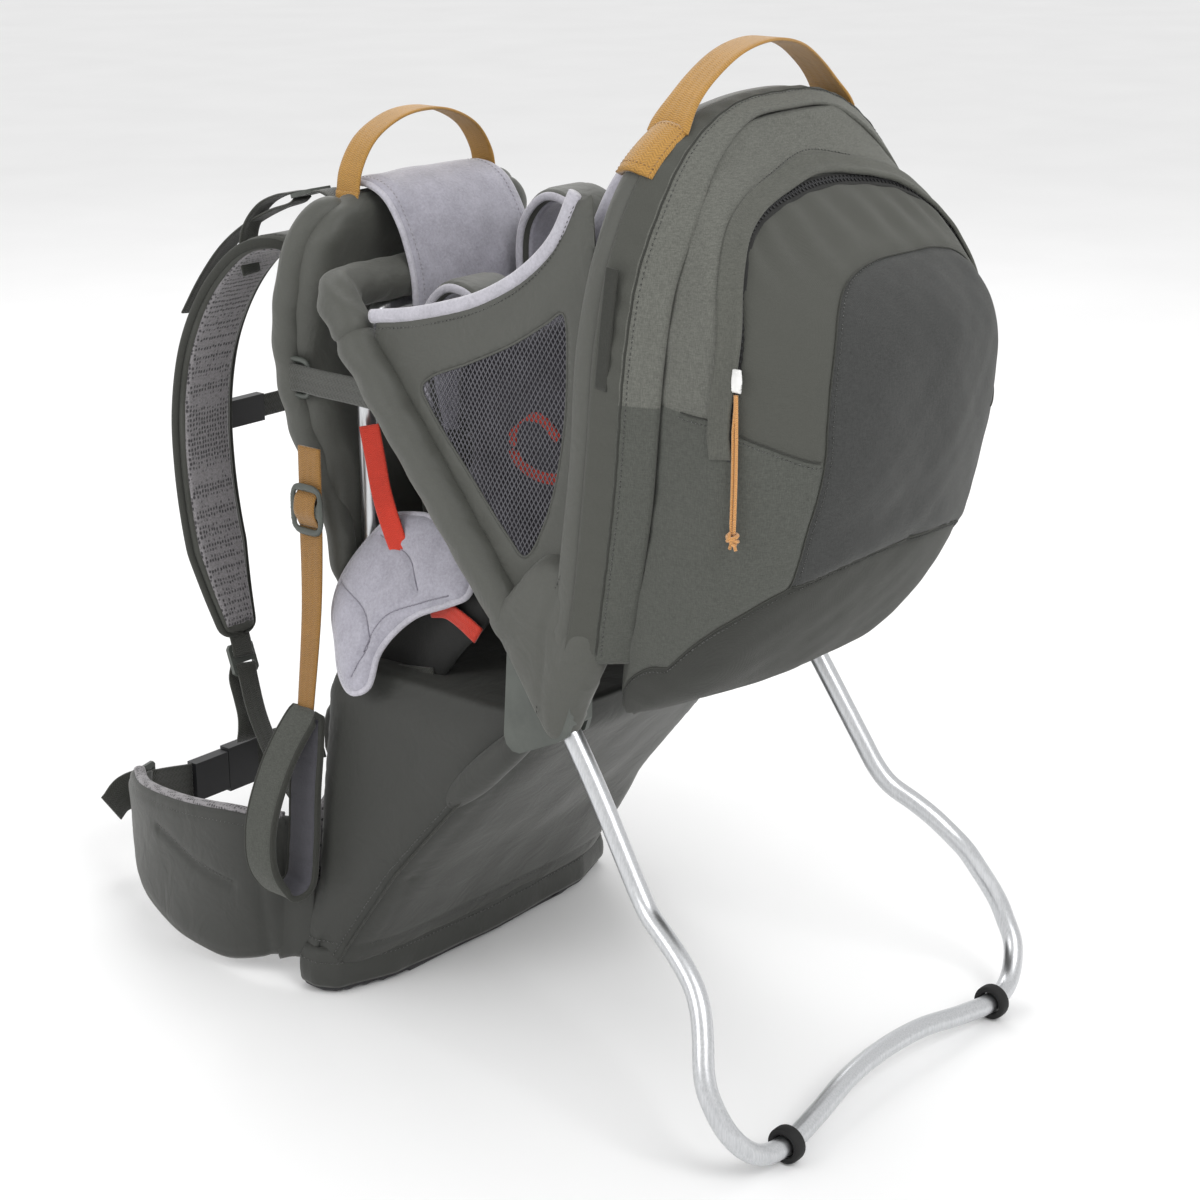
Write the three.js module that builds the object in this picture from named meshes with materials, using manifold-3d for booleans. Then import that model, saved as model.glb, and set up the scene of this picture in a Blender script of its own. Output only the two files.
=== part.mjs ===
// Framed child carrier backpack. Millimetres, +Z up, wearer's side +Y, cargo side -Y.
// The design frame has y = 0 on the base's rear corners; the finished group is moved
// so that its footprint is centred on the origin and it stands on z = 0.
import * as THREE from 'three';
import { mergeVertices } from 'three/addons/utils/BufferGeometryUtils.js';
import Module from 'manifold-3d';

const wasm = await Module();
wasm.setup();

// ---------------------------------------------------------------- driving sizes
const Y_SHIFT = 72.1;            // design frame -> part frame
const TUBE_R = 7.95;             // 5/8 in frame tube
const GAP = 0.4;                 // clearance between neighbours
const SLEEVE_R = 19;             // padded fabric sleeve round a frame tube
const HUB = [-240, 312];         // y, z of the hub's centre
const PIVOT = [-243, 300];       // y, z of the kickstand's hinge axis
const HUB_X = 150;               // frame tubes' distance from the middle plane at the hub
const PIN_R = 3.0;
const FOOT_R = 14.25;            // foot ring outer radius
const WEB = 25;                  // carry handle and stirrup webbing
const BELT_WEB = 38;             // hip belt webbing
const BELT_HINGE = [171, 27];    // |x|, y of a hip wing's root
const STIRRUP_HINGE = [152, 17, 462];
const ARM_DIR = [0.64, 0.7684];  // y, z of a cockpit arm's direction, hub to top

// ---------------------------------------------------------------- materials
const mat = (hex, roughness = 0.9, metalness = 0) => new THREE.MeshStandardMaterial({ color: hex, roughness, metalness });
const M = {
  satin: mat(0x4b4e47, 0.62), heather: mat(0x5d625b, 0.95), fleece: mat(0xb4b1ba, 1.0), spacer: mat(0x8f8b90, 0.95),
  ochre: mat(0xb07d2c, 0.85), red: mat(0xd8402a, 0.8), alu: mat(0xc9cbcd, 0.28, 0.9), rubber: mat(0x1b1b1c, 0.8),
  plastic: mat(0x3c403d, 0.55), black: mat(0x17181a, 0.5), olive: mat(0x474941, 0.9), charcoal: mat(0x3a3a42, 0.95),
  cord: mat(0xc48a48, 0.9), silver: mat(0xd4d4d2, 0.35, 0.8),
};

// ---------------------------------------------------------------- helpers
const v3 = (x, y, z) => new THREE.Vector3(x, y, z);
const smooth = (pts, n) => new THREE.CatmullRomCurve3(pts.map(p => v3(...p)), false, 'centripetal').getPoints(n);

function solidFrom(rings, closed = false) {
  // rings of equal length joined one to the next; flat fans close both ends
  const n = rings[0].length, pos = [], idx = [];
  for (const r of rings) for (const p of r) pos.push(p.x, p.y, p.z);
  const m = rings.length;
  for (let i = 0; i < (closed ? m : m - 1); i++) {
    const a = i * n, b = ((i + 1) % m) * n;
    for (let j = 0; j < n; j++) {
      const k = (j + 1) % n;
      idx.push(a + j, a + k, b + k, a + j, b + k, b + j);
    }
  }
  if (!closed) {
    for (const [r, flip] of [[0, true], [m - 1, false]]) {
      const c = rings[r].reduce((s, p) => s.add(p), v3(0, 0, 0)).multiplyScalar(1 / n);
      const ci = pos.length / 3; pos.push(c.x, c.y, c.z);
      for (let j = 0; j < n; j++) {
        const k = (j + 1) % n, a = r * n + j, b = r * n + k;
        if (flip) idx.push(ci, b, a); else idx.push(ci, a, b);
      }
    }
  }
  let vol = 0;
  const g = i => v3(pos[3 * i], pos[3 * i + 1], pos[3 * i + 2]);
  for (let i = 0; i < idx.length; i += 3) vol += g(idx[i]).dot(g(idx[i + 1]).cross(g(idx[i + 2])));
  if (vol < 0) for (let i = 0; i < idx.length; i += 3) [idx[i + 1], idx[i + 2]] = [idx[i + 2], idx[i + 1]];
  const geo = new THREE.BufferGeometry();
  geo.setAttribute('position', new THREE.Float32BufferAttribute(pos, 3));
  geo.setIndex(idx);
  return geo;
}

function frames(path) {
  // rotation-minimising frames along a polyline
  const T = path.map((p, i) => path[Math.min(i + 1, path.length - 1)].clone().sub(path[Math.max(i - 1, 0)]).normalize());
  const N = [];
  let n = Math.abs(T[0].x) < 0.8 ? v3(1, 0, 0) : v3(0, 1, 0);
  n.sub(T[0].clone().multiplyScalar(n.dot(T[0]))).normalize();
  for (let i = 0; i < path.length; i++) {
    n = n.clone().sub(T[i].clone().multiplyScalar(n.dot(T[i]))).normalize();
    N.push(n);
  }
  return { T, N, B: T.map((t, i) => t.clone().cross(N[i])) };
}
const circleRing = (c, N, B, r, n) => Array.from({ length: n }, (_, j) => {
  const a = 2 * Math.PI * (j + 0.5) / n;
  return c.clone().add(N.clone().multiplyScalar(r * Math.cos(a))).add(B.clone().multiplyScalar(r * Math.sin(a)));
});
function rod(path, r, n = 10) {
  const f = frames(path);
  return solidFrom(path.map((p, i) => circleRing(p, f.N[i], f.B[i], r, n)));
}
function sleeve(path, r0, r1, n = 10) {
  // open-ended padded tube, optionally with a radius that varies
  const f = frames(path), last = path.length - 1;
  const R = i => (typeof r1 === 'function' ? r1(i / last) : r1);
  const out = path.map((p, i) => circleRing(p, f.N[i], f.B[i], R(i), n));
  const inn = path.map((p, i) => circleRing(p, f.N[i], f.B[i], r0, n));
  return solidFrom([...out, ...inn.reverse()], true);
}
function band(path, width, thick, side) {
  // flat webbing: path, width direction `side` (vector or function), thickness across
  const f = frames(path);
  return solidFrom(path.map((p, i) => {
    const s0 = typeof side === 'function' ? side(i / (path.length - 1)) : side;
    const s = v3(...s0); s.sub(f.T[i].clone().multiplyScalar(s.dot(f.T[i]))).normalize();
    const t = f.T[i].clone().cross(s).normalize();
    const w = typeof width === 'function' ? width(i / (path.length - 1)) : width;
    const h = typeof thick === 'function' ? thick(i / (path.length - 1)) : thick;
    const q = (a, b) => p.clone().add(s.clone().multiplyScalar(a * w / 2)).add(t.clone().multiplyScalar(b * h / 2));
    return [q(-1, -1), q(1, -1), q(1, 1), q(-1, 1)];
  }));
}
const box = (x0, x1, y0, y1, z0, z1) => new THREE.BoxGeometry(x1 - x0, y1 - y0, z1 - z0).translate((x0 + x1) / 2, (y0 + y1) / 2, (z0 + z1) / 2);
function pad(corners, thick, dir) {
  // slab with four corners given in order, thickened along dir
  const d = v3(...dir).normalize().multiplyScalar(thick / 2);
  const a = corners.map(c => v3(...c).add(d)), b = corners.map(c => v3(...c).sub(d));
  return solidFrom([a, b]);
}
function toManifold(geo) {
  const g = geo.clone(); g.deleteAttribute('normal'); g.deleteAttribute('uv');
  const m = mergeVertices(g, 1e-4);
  return new wasm.Manifold(new wasm.Mesh({ numProp: 3, vertProperties: new Float32Array(m.attributes.position.array), triVerts: new Uint32Array(m.index.array) }));
}
function fromManifold(man) {
  const m = man.getMesh(), geo = new THREE.BufferGeometry();
  geo.setAttribute('position', new THREE.Float32BufferAttribute(new Float32Array(m.vertProperties), 3));
  geo.setIndex([...m.triVerts]);
  return geo;
}
const cut = (geo, ...tools) => fromManifold(tools.reduce((s, t) => s.subtract(toManifold(t)), toManifold(geo)));
const xform = (geo, f) => { const g = geo.clone(); f(g); return g; };
function mirrorX(geo) {
  const g = geo.clone().applyMatrix4(new THREE.Matrix4().makeScale(-1, 1, 1));
  const i = g.index ? [...g.index.array] : Array.from({ length: g.attributes.position.count }, (_, k) => k);
  for (let k = 0; k < i.length; k += 3) [i[k + 1], i[k + 2]] = [i[k + 2], i[k + 1]];
  g.setIndex(i);
  return g;
}
const mirrored = pts => [...pts, ...pts.slice(0, -1).reverse().map(([x, y, z]) => [-x, y, z])];
function hull2(pts) {
  const p = [...pts].sort((a, b) => a[0] - b[0] || a[1] - b[1]), c = (o, a, b) => (a[0] - o[0]) * (b[1] - o[1]) - (a[1] - o[1]) * (b[0] - o[0]);
  const half = q => { const h = []; for (const r of q) { while (h.length > 1 && c(h.at(-2), h.at(-1), r) <= 0) h.pop(); h.push(r); } h.pop(); return h; };
  return [...half(p), ...half([...p].reverse())];
}
function plateYZ(outline, x0, x1, holes = []) {
  // outline of [y, z] points made solid between x0 and x1
  const s = new THREE.Shape(outline.map(([y, z]) => new THREE.Vector2(y, z)));
  for (const h of holes) s.holes.push(new THREE.Path(h.map(([y, z]) => new THREE.Vector2(y, z))));
  const g = new THREE.ExtrudeGeometry(s, { depth: x1 - x0, bevelEnabled: false });
  g.applyMatrix4(new THREE.Matrix4().set(0, 0, 1, x0, 1, 0, 0, 0, 0, 1, 0, 0, 0, 0, 0, 1));
  return g;
}
const rect = (w, h, cx = 0, cy = 0) => [[cx - w / 2, cy - h / 2], [cx + w / 2, cy - h / 2], [cx + w / 2, cy + h / 2], [cx - w / 2, cy + h / 2]];
function chamfered(w, h, c) {
  return [[-w / 2 + c, -h / 2], [w / 2 - c, -h / 2], [w / 2, -h / 2 + c], [w / 2, h / 2 - c], [w / 2 - c, h / 2], [-w / 2 + c, h / 2], [-w / 2, h / 2 - c], [-w / 2, -h / 2 + c]];
}
function ladderLock(w, h, t, slotW, slotH) {
  // flat buckle with two webbing slots; lies in its own XY plane, thickness along Z
  const s = new THREE.Shape(chamfered(w, h, 3).map(([x, y]) => new THREE.Vector2(x, y)));
  for (const cy of [-h * 0.22, h * 0.22]) s.holes.push(new THREE.Path(rect(slotW, slotH, 0, cy).reverse().map(([x, y]) => new THREE.Vector2(x, y))));
  return new THREE.ExtrudeGeometry(s, { depth: t, bevelEnabled: false }).translate(0, 0, -t / 2);
}
function place(geo, xAxis, yAxis, origin) {
  const X = v3(...xAxis).normalize(), Y = v3(...yAxis); Y.sub(X.clone().multiplyScalar(Y.dot(X))).normalize();
  const Z = X.clone().cross(Y);
  return geo.clone().applyMatrix4(new THREE.Matrix4().makeBasis(X, Y, Z).setPosition(...origin));
}

const group = new THREE.Group();
group.name = 'carrier';
const add = (name, geo, material) => { const m = new THREE.Mesh(geo, material); m.name = name; group.add(m); };
const pair = (name, geo, material) => { add(name + '_left', mirrorX(geo), material); add(name + '_right', geo, material); };
// the "left" half is x < 0, the "right" half is x > 0

// ---------------------------------------------------------------- kickstand
const legPts = [[150, PIVOT[0], PIVOT[1]], [150, -250, 290], [152, -280, 246], [155, -306, 206], [157, -322, 182], [160, -334, 169],
  [165, -353, 158], [169, -369, 148], [174, -386, 134], [180, -397, 121], [188, -406, 103], [196, -413, 86], [200, -419, 73],
  [200, -427, 58], [197, -436, 43], [186, -443, 27.5], [170, -447.5, 17], [143, -450, FOOT_R], [104, -447, 18], [50, -440.5, 25.5], [0, -438, 27]];
const legUp = v3(0, PIVOT[0] + 250, PIVOT[1] - 290).normalize();
const legTop = [150, PIVOT[0] + legUp.y * 9, PIVOT[1] + legUp.z * 9];
const standPath = smooth(mirrored([legTop, ...legPts]), 58);
const pin = x0x1 => new THREE.CylinderGeometry(PIN_R, PIN_R, x0x1[1] - x0x1[0], 16).rotateZ(Math.PI / 2).translate((x0x1[0] + x0x1[1]) / 2, ...PIVOT);
const pinHole = r => new THREE.CylinderGeometry(r, r, 60, 16).rotateZ(Math.PI / 2).translate(HUB_X, ...PIVOT);
const rightHole = pinHole(PIN_R + 0.1), leftHole = mirrorX(rightHole);
add('kickstand_tube', cut(rod(standPath, TUBE_R, 10), rightHole, leftHole), M.alu);

// rubber foot rings on the tube where it turns into the cross bar
{
  const prof = [[TUBE_R + 0.9, -5.5], [FOOT_R - 2, -5.5], [FOOT_R, -3.5], [FOOT_R, 3.5], [FOOT_R - 2, 5.5], [TUBE_R + 0.9, 5.5], [TUBE_R + 0.9, -5.5]];
  const ring = new THREE.LatheGeometry(prof.map(p => new THREE.Vector2(...p)), 20);
  const tangent = v3(170 - 104, -447.5 + 447, 17 - 18).normalize();
  const q = new THREE.Quaternion().setFromUnitVectors(v3(0, 1, 0), tangent);
  const g = ring.clone().applyQuaternion(q).translate(143, -450, FOOT_R + 0.05);
  pair('foot_ring', mergeVertices((g.deleteAttribute('normal'), g.deleteAttribute('uv'), g), 1e-3), M.rubber);
}

// ---------------------------------------------------------------- frame tubes
const armAt = s => [HUB_X, HUB[0] + ARM_DIR[0] * s, HUB[1] + ARM_DIR[1] * s];
const armHalf = [armAt(26.5), armAt(120), armAt(220), armAt(315), [149, -29, 569], [145, -16, 581], [134, -7, 587], [118, -4, 588], [60, -4, 588], [0, -4, 588]];
const armPath = smooth(mirrored(armHalf), 44);
add('cockpit_arm_tube', rod(armPath, TUBE_R, 8), M.alu);

const hoopHalf = [[HUB_X, HUB[0] - 6, HUB[1] + 25.9], [151, -262, 400], [151, -274, 500], [149, -281, 590], [140, -288, 650], [118, -295, 695], [80, -298, 720], [40, -298.5, 729], [0, -298.5, 731]];
const hoopPath = smooth(mirrored(hoopHalf), 36);
add('rear_hoop_tube', rod(hoopPath, TUBE_R, 8), M.alu);

const strutHalf = [[HUB_X, -215, 285], [148.5, -198, 268], [144, -122, 200], [146, -58, 121], [151, -14, 60], [152, -2, 34], [148, -3, 18], [136, -8, 11.5], [100, -17, 11], [0, -22, 11]];
const strutPath = smooth(mirrored(strutHalf), 44);
add('lower_frame_tube', rod(strutPath, TUBE_R, 8), M.alu);

const stayHalf = [[100, 4, 5], [100, 4, 200], [100, 3, 400], [100, 2, 530], [96, 1.5, 552], [84, 1, 564], [66, 1, 566.5], [0, 1, 566.5]];
const stayPath = smooth(mirrored(stayHalf), 30);
add('back_stay_tube', rod(stayPath, TUBE_R, 8), M.alu);

// ---------------------------------------------------------------- hubs with the kickstand's slot
{
  const disc = (c, r, n = 10) => Array.from({ length: n }, (_, i) => [c[0] + r * Math.cos(2 * Math.PI * i / n), c[1] + r * Math.sin(2 * Math.PI * i / n)]);
  const armEnd = [HUB[0] + ARM_DIR[0] * 45, HUB[1] + ARM_DIR[1] * 45];
  const hoopEnd = [-249, 355];
  const outline = hull2([...disc(PIVOT, 17), ...disc(armEnd, 12), ...disc(hoopEnd, 12), ...disc([-207, 277], 12)]);
  let hub = plateYZ(outline, HUB_X - 13, HUB_X + 13);
  const slotLow = 120;
  const slot = hull2([...disc(PIVOT, 12.8, 16), [PIVOT[0] - 0.62 * slotLow - 12, PIVOT[1] - 0.84 * slotLow], [PIVOT[0] + 0.34 * slotLow + 12, PIVOT[1] - 0.94 * slotLow]]);
  hub = cut(hub, plateYZ(slot, HUB_X - TUBE_R - 0.6, HUB_X + TUBE_R + 0.6), pinHole(PIN_R + 0.35),
    rod([v3(...armAt(26.1)), v3(...armAt(80))], TUBE_R + 1.0, 12),
    rod([v3(HUB_X, HUB[0] - 5.9, HUB[1] + 25.5), v3(HUB_X + 0.3, -262, 400)], TUBE_R + 1.0, 12),
    rod([v3(HUB_X, -215.4, 285.4), v3(148, -180, 250)], TUBE_R + 1.0, 12));
  pair('frame_hub', hub, M.plastic);
  pair('pivot_pin', pin([HUB_X - 12.6, HUB_X + 12.6]), M.silver);
}

// ---------------------------------------------------------------- padded fabric sleeves on arms and hoop
{
  const p = [57, 180, 300, 318].map(s => v3(...armAt(s)));
  pair('arm_sleeve', sleeve(p, TUBE_R + 1.8, t => SLEEVE_R - (t > 0.95 ? 2 : 0), 10), M.satin);
  const hp = smooth(mirrored([[151, -256, 372], [151, -274, 500], [149, -281, 590], [140, -288, 650], [118, -295, 695], [80, -298, 720], [40, -298.5, 729], [0, -298.5, 731]]), 26);
  add('hoop_sleeve', sleeve(hp, TUBE_R + 3, SLEEVE_R, 10), M.satin);
}

// ---------------------------------------------------------------- base board and lower compartment
const baseOutline = [[172, 27], [178, 20], [179, 4], [170, -12], [120, -30], [0, -36], [-120, -30], [-170, -12], [-179, 4], [-178, 20], [-172, 27]];
{
  const s = new THREE.Shape(baseOutline.map(p => new THREE.Vector2(...p)));
  const g = new THREE.ExtrudeGeometry(s, { depth: 21.5, bevelEnabled: false });
  const lower = rod(smooth(mirrored(strutHalf), 44), TUBE_R + GAP, 8);
  const stays = rod(smooth(mirrored(stayHalf), 30), TUBE_R + GAP, 8);
  const stayWell = [100, -100].map(x => new THREE.CylinderGeometry(TUBE_R + GAP, TUBE_R + GAP, 30, 12).rotateX(Math.PI / 2).translate(x, 4, 19.6));
  add('base_board', cut(g, lower, ...stayWell), M.black);
  const lv = [[21.9, 176, 27, -22], [60, 172, 27, -46], [100, 168, 12, -72], [121, 166, 12, -86], [160, 162, 12, -118], [201, 157, 12, -152], [240, 152, 12, -184], [262, 149, 12, -202], [284, 138, 8, -206]];
  const rings = lv.map(([z, w, yf, yr]) => {
    const half = [[0, yr - 6], [w - 60, yr - 3], [w - 28, yr + 4], [w - 8, yr + 18], [w, yr + 40], [w, yf - 10], [w - 6, yf]];
    const all = [...half, ...half.slice(1).reverse().map(([x, y]) => [-x, y])];
    return all.map(([x, y]) => v3(x, y, z));
  });
  const hubRoom = x => box(x - 17, x + 17, -300, -192, 255, 400);
  add('lower_compartment', cut(solidFrom(rings), lower, stays, hubRoom(HUB_X), hubRoom(-HUB_X)), M.satin);
}

// ---------------------------------------------------------------- back panel, lumbar pad
{
  // z, front at the edge, front at the middle, rear, half width
  const lv = [[165, 22, 34, 12.6, 116], [250, 22, 36, 12.6, 120], [330, 23, 38, 12.6, 121], [392, 28, 44, 12.6, 122], [431, 51, 58, 14, 123], [469, 70, 74, 26, 124],
    [508, 80, 84, 38, 125], [549, 81, 85, 40, 125], [599, 68, 74, 28, 124], [622, 54, 60, 20, 120], [640, 46, 50, 20, 106], [648, 40, 42, 26, 88]];
  const rings = lv.map(([z, fe, fm, r, w]) => {
    const half = [[0, fm], [w * 0.6, fm - (fm - fe) * 0.35], [w * 0.9, fe], [w, (fe + r) / 2], [w * 0.94, r], [w * 0.5, r]];
    return [...half, [0, r], ...half.slice(1).reverse().map(([x, y]) => [-x, y])].map(([x, y]) => v3(x, y, z));
  });
  add('back_panel', solidFrom(rings), M.satin);
  add('lumbar_pad', solidFrom([[30, 150, 28, 42], [60, 158, 27.5, 46], [110, 158, 12.6, 46], [150, 140, 12.6, 40], [164, 120, 12.6, 34]].map(([z, w, r, f]) =>
    [[-w, f - 8], [-w * 0.7, f], [0, f + 2], [w * 0.7, f], [w, f - 8], [w, r], [0, r], [-w, r]].map(([x, y]) => v3(x, y, z)))), M.spacer);
}

// ---------------------------------------------------------------- hip belt
const wing = (plan, zb, zt, n = 12) => {
  const c = smooth(plan.map(([x, y]) => [x, y, 0]), n), f = frames(c);
  return solidFrom(c.map((p, i) => {
    const t = i / n, s = f.T[i].clone().cross(v3(0, 0, 1)).normalize(), h = t < 0.06 || t > 0.94 ? 4.5 : 7;
    const z0 = THREE.MathUtils.lerp(0, 1, 0) + zb(t), z1 = zt(t);
    const q = (a, z) => v3(p.x + s.x * a * h, p.y + s.y * a * h, z);
    return [q(-0.55, z0), q(0.55, z0), q(1, z0 + 8), q(1, z1 - 8), q(0.55, z1), q(-0.55, z1), q(-1, z1 - 8), q(-1, z0 + 8)];
  }));
};
const interp = pairs => t => { for (let i = 1; i < pairs.length; i++) if (t <= pairs[i][0]) { const [a, b] = [pairs[i - 1], pairs[i]]; return a[1] + (b[1] - a[1]) * (t - a[0]) / (b[0] - a[0]); } return pairs.at(-1)[1]; };
const planL = [[-172, 36], [-190, 72], [-194, 115], [-188, 165], [-170, 225], [-134, 279]];
const planR = [[172, 36], [188, 78], [187, 122], [172, 175], [139, 226], [90, 268]];
const zBot = interp([[0, 26], [0.25, 8], [0.5, 10], [0.75, 22], [0.92, 38], [1, 56]]);
const zTop = interp([[0, 148], [0.2, 150], [0.5, 138], [0.8, 126], [0.94, 124], [1, 108]]);
add('hip_wing_left', wing(planL, zBot, zTop), M.satin);
add('hip_wing_right', wing(planR, t => zBot(t), zTop), M.satin);
{
  const up = [0, 0, 1];
  const wl = smooth([[-127, 287.5, 82], [-112, 298, 78], [-70, 310, 68], [-43.5, 314, 62]], 6);
  add('belt_webbing_left', band(wl, BELT_WEB, 2.2, up), M.olive);
  const wr = smooth([[85, 274, 76], [72, 292, 72], [58, 308, 66], [44.5, 314, 62]], 5);
  add('belt_webbing_right', band(wr, BELT_WEB, 2.2, up), M.olive);
  // side release buckle: socket half and prong half meet at x = 0
  const female = cut(box(2.2, 39, 308, 320, 40, 84), box(1, 30, 311.2, 316.8, 47, 77));
  add('belt_buckle_socket', female, M.black);
  add('belt_buckle_prongs', box(-39, 1.4, 308, 320, 43, 81), M.black);
  const rot = (g, c, dir) => place(g, [dir[0], dir[1], 0], [0, 0, 1], c);
  const triPlate = () => { const s = new THREE.Shape(chamfered(20, 50, 3).map(p => new THREE.Vector2(...p))); for (const cx of [-4.6, 4.6]) s.holes.push(new THREE.Path(rect(5, 40 - (cx > 0 ? 1 : 0), cx, 0).reverse().map(p => new THREE.Vector2(...p)))); return new THREE.ExtrudeGeometry(s, { depth: 3, bevelEnabled: false }).translate(0, 0, -1.5); };
  add('belt_triglide_left', rot(triPlate(), [-96.5, 307.8, 75], [42, 12, 0]), M.plastic);
}

// ---------------------------------------------------------------- shoulder harness
{
  const sp = smooth([[62, 92, 590], [67, 104, 603], [76, 133, 600], [80, 172, 568], [84, 203, 515], [86, 217, 455], [87, 217, 400], [88, 209, 345], [89, 195, 295], [90, 180, 254]], 14);
  pair('shoulder_strap', band(sp, t => (t < 0.08 ? 46 : t > 0.93 ? 34 : 60), t => (t < 0.05 || t > 0.95 ? 8 : 13), [1, 0, 0]), M.spacer);
  add('yoke_pad', box(-60, 60, 88, 98, 500, 574), M.satin);
  pair('load_lifter_webbing', band(smooth([[78, 97, 637], [79, 120, 629], [81, 150, 614], [84, 176, 594], [88, 199, 566], [94, 222, 530]], 8), 20, 2, [1, 0, 0]), M.olive);
  pair('load_lifter_buckle', place(ladderLock(28, 24, 3.5, 21, 5), [1, 0, 0], [0, 1, -0.3], [78, 82, 646.5]), M.plastic);
  pair('lower_strap_buckle', place(ladderLock(28, 28, 3.5, 21, 5), [1, 0, 0], [0, 0.35, 1], [92, 175, 233]), M.plastic);
  pair('lower_strap_webbing', band(smooth([[94, 166, 216], [102, 148, 190], [114, 112, 158], [124, 72, 134]], 6), 20, 2, [1, 0, 0]), M.olive);
  add('sternum_strap', band([v3(-13, 223, 436), v3(20, 223, 436), v3(54, 221, 438)], 20, 2, [0, 0, 1]), M.olive);
  add('sternum_buckle', box(-54, -13.8, 218.5, 228, 424, 448), M.plastic);
}

// ---------------------------------------------------------------- child seat and harness
{
  const outline = [[-262, 590], [-249, 590], [-231, 420], [-203, 362], [-150, 346], [-92, 348], [-62, 372], [-44, 440], [-32, 440], [-48, 366], [-84, 334], [-150, 331], [-212, 347], [-245, 412]];
  add('child_seat', plateYZ(outline, -84, 84), M.charcoal);
  pair('seat_wing', pad([[88, -14, 392], [88, -108, 350], [162, -64, 290], [160, -12, 312]], 13, [0.55, 0.15, 0.8]), M.fleece);
  const hp = dz => [[0, -56, 520], [0, -42, 580], [0, -46, 622], [0, -70, 645], [0, -98, 638], [0, -114, 596], [0, -124, 540], [0, -150, 480]].map(([x, y, z]) => [0, y, z + dz]);
  add('child_harness_pad_left', band(smooth(hp(-42), 12).map(p => p.add(v3(-58, 0, 0))), 50, 12, [1, 0, 0]), M.fleece);
  add('child_harness_pad_right', band(smooth(hp(0), 12).map(p => p.add(v3(58, 0, 0))), 50, 12, [1, 0, 0]), M.fleece);
  add('child_chest_buckle', box(-26, 26, -60, -48, 486, 512), M.black);
}

// ---------------------------------------------------------------- stirrups
{
  const [sx, sy, sz] = STIRRUP_HINGE;
  pair('stirrup_strap', band(smooth([[sx, sy, sz], [sx + 1, sy, 400], [sx + 4, sy, 330], [sx + 14, sy, 253]], 5), WEB, 2.4, [0, 1, 0]), M.ochre);
  pair('stirrup_buckle', place(ladderLock(36, 42, 4, 27, 8), [0, 1, 0], [0, 0, 1], [sx + 5, sy, 412]), M.plastic);
  // closed teardrop loop, padded band
  const c = [[170, 246], [182, 230], [198, 196], [210, 150], [208, 112], [194, 92], [182, 98], [177, 130], [174, 180], [170, 226]];
  const curve = new THREE.CatmullRomCurve3(c.map(([x, z]) => v3(x, 0, z)), true, 'centripetal').getPoints(20).slice(0, -1);
  const ctr = v3(190, 0, 165);
  const yOf = p => 12 + (p.x - 170) * 0.45;
  const rings = curve.map((p, i) => {
    const a = curve[(i + 19) % 20] ?? curve[0], b = curve[(i + 1) % 20] ?? curve[0];
    const t = b.clone().sub(a).normalize(), n = v3(t.z, 0, -t.x);
    const q = (w, h) => v3(p.x + n.x * h, yOf(p) + w, p.z + n.z * h);
    return [q(-16, -3), q(16, -3), q(16, 3), q(-16, 3)];
  });
  pair('stirrup_loop', solidFrom(rings, true), M.heather);
}

// ---------------------------------------------------------------- cargo pack and its zip
{
  const lv = [[296, 108, -264, -278], [310, 124, -266, -322], [335, 138, -272, -370], [370, 147, -280, -404], [420, 154, -288, -434], [480, 156, -296, -451], [540, 157, -302, -458],
    [590, 155, -305, -453], [635, 145, -310, -420], [675, 126, -316, -378], [705, 100, -320, -348], [725, 74, -321, -337], [735, 52, -322, -334]];
  const rings = lv.map(([z, a, f, b]) => {
    const n = 2.15, pts = [], c = (f + b) / 2, d = (f - b) / 2;
    for (let i = 0; i < 20; i++) {
      const t = 2 * Math.PI * i / 20, cx = Math.cos(t), cy = Math.sin(t);
      const e = y => (y > 0 ? 2 / 5 : 2 / n);
      pts.push(v3(a * Math.sign(cx) * Math.abs(cx) ** e(cy), c + d * Math.sign(cy) * Math.abs(cy) ** e(cy), z));
    }
    return pts;
  });
  add('cargo_pack', solidFrom(rings), M.heather);
  add('zip_slider', place(box(-4, 4, -9, 9, -2.5, 2.5), [0, 1, 0], [0, 0, 1], [-156.5, -402, 580]), M.silver);
  add('zip_pull_cord', rod([[-156.5, -402, 570.4], [-156.5, -402, 534], [-156.5, -402, 498], [-156.5, -402, 462]].map(p => v3(...p)), 2.2, 8), M.cord);
}

// ---------------------------------------------------------------- cockpit side panels
{
  const d = ARM_DIR, off = (s, o) => [HUB[0] + d[0] * s - d[1] * o, HUB[1] + d[1] * s + d[0] * o];
  const outline = [[-225, 378], ...[90, 140, 200, 260, 302].map(s => off(s, 19.8)), [-62, 572], [-110, 584], [-160, 600], [-205, 624], [-238, 654], [-262, 690],
    [-264.5, 640], [-261, 600], [-256, 540], [-252, 480], [-243, 420]];
  pair('side_panel', plateYZ(outline, 148.5, 151.5), M.satin);
}

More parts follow.
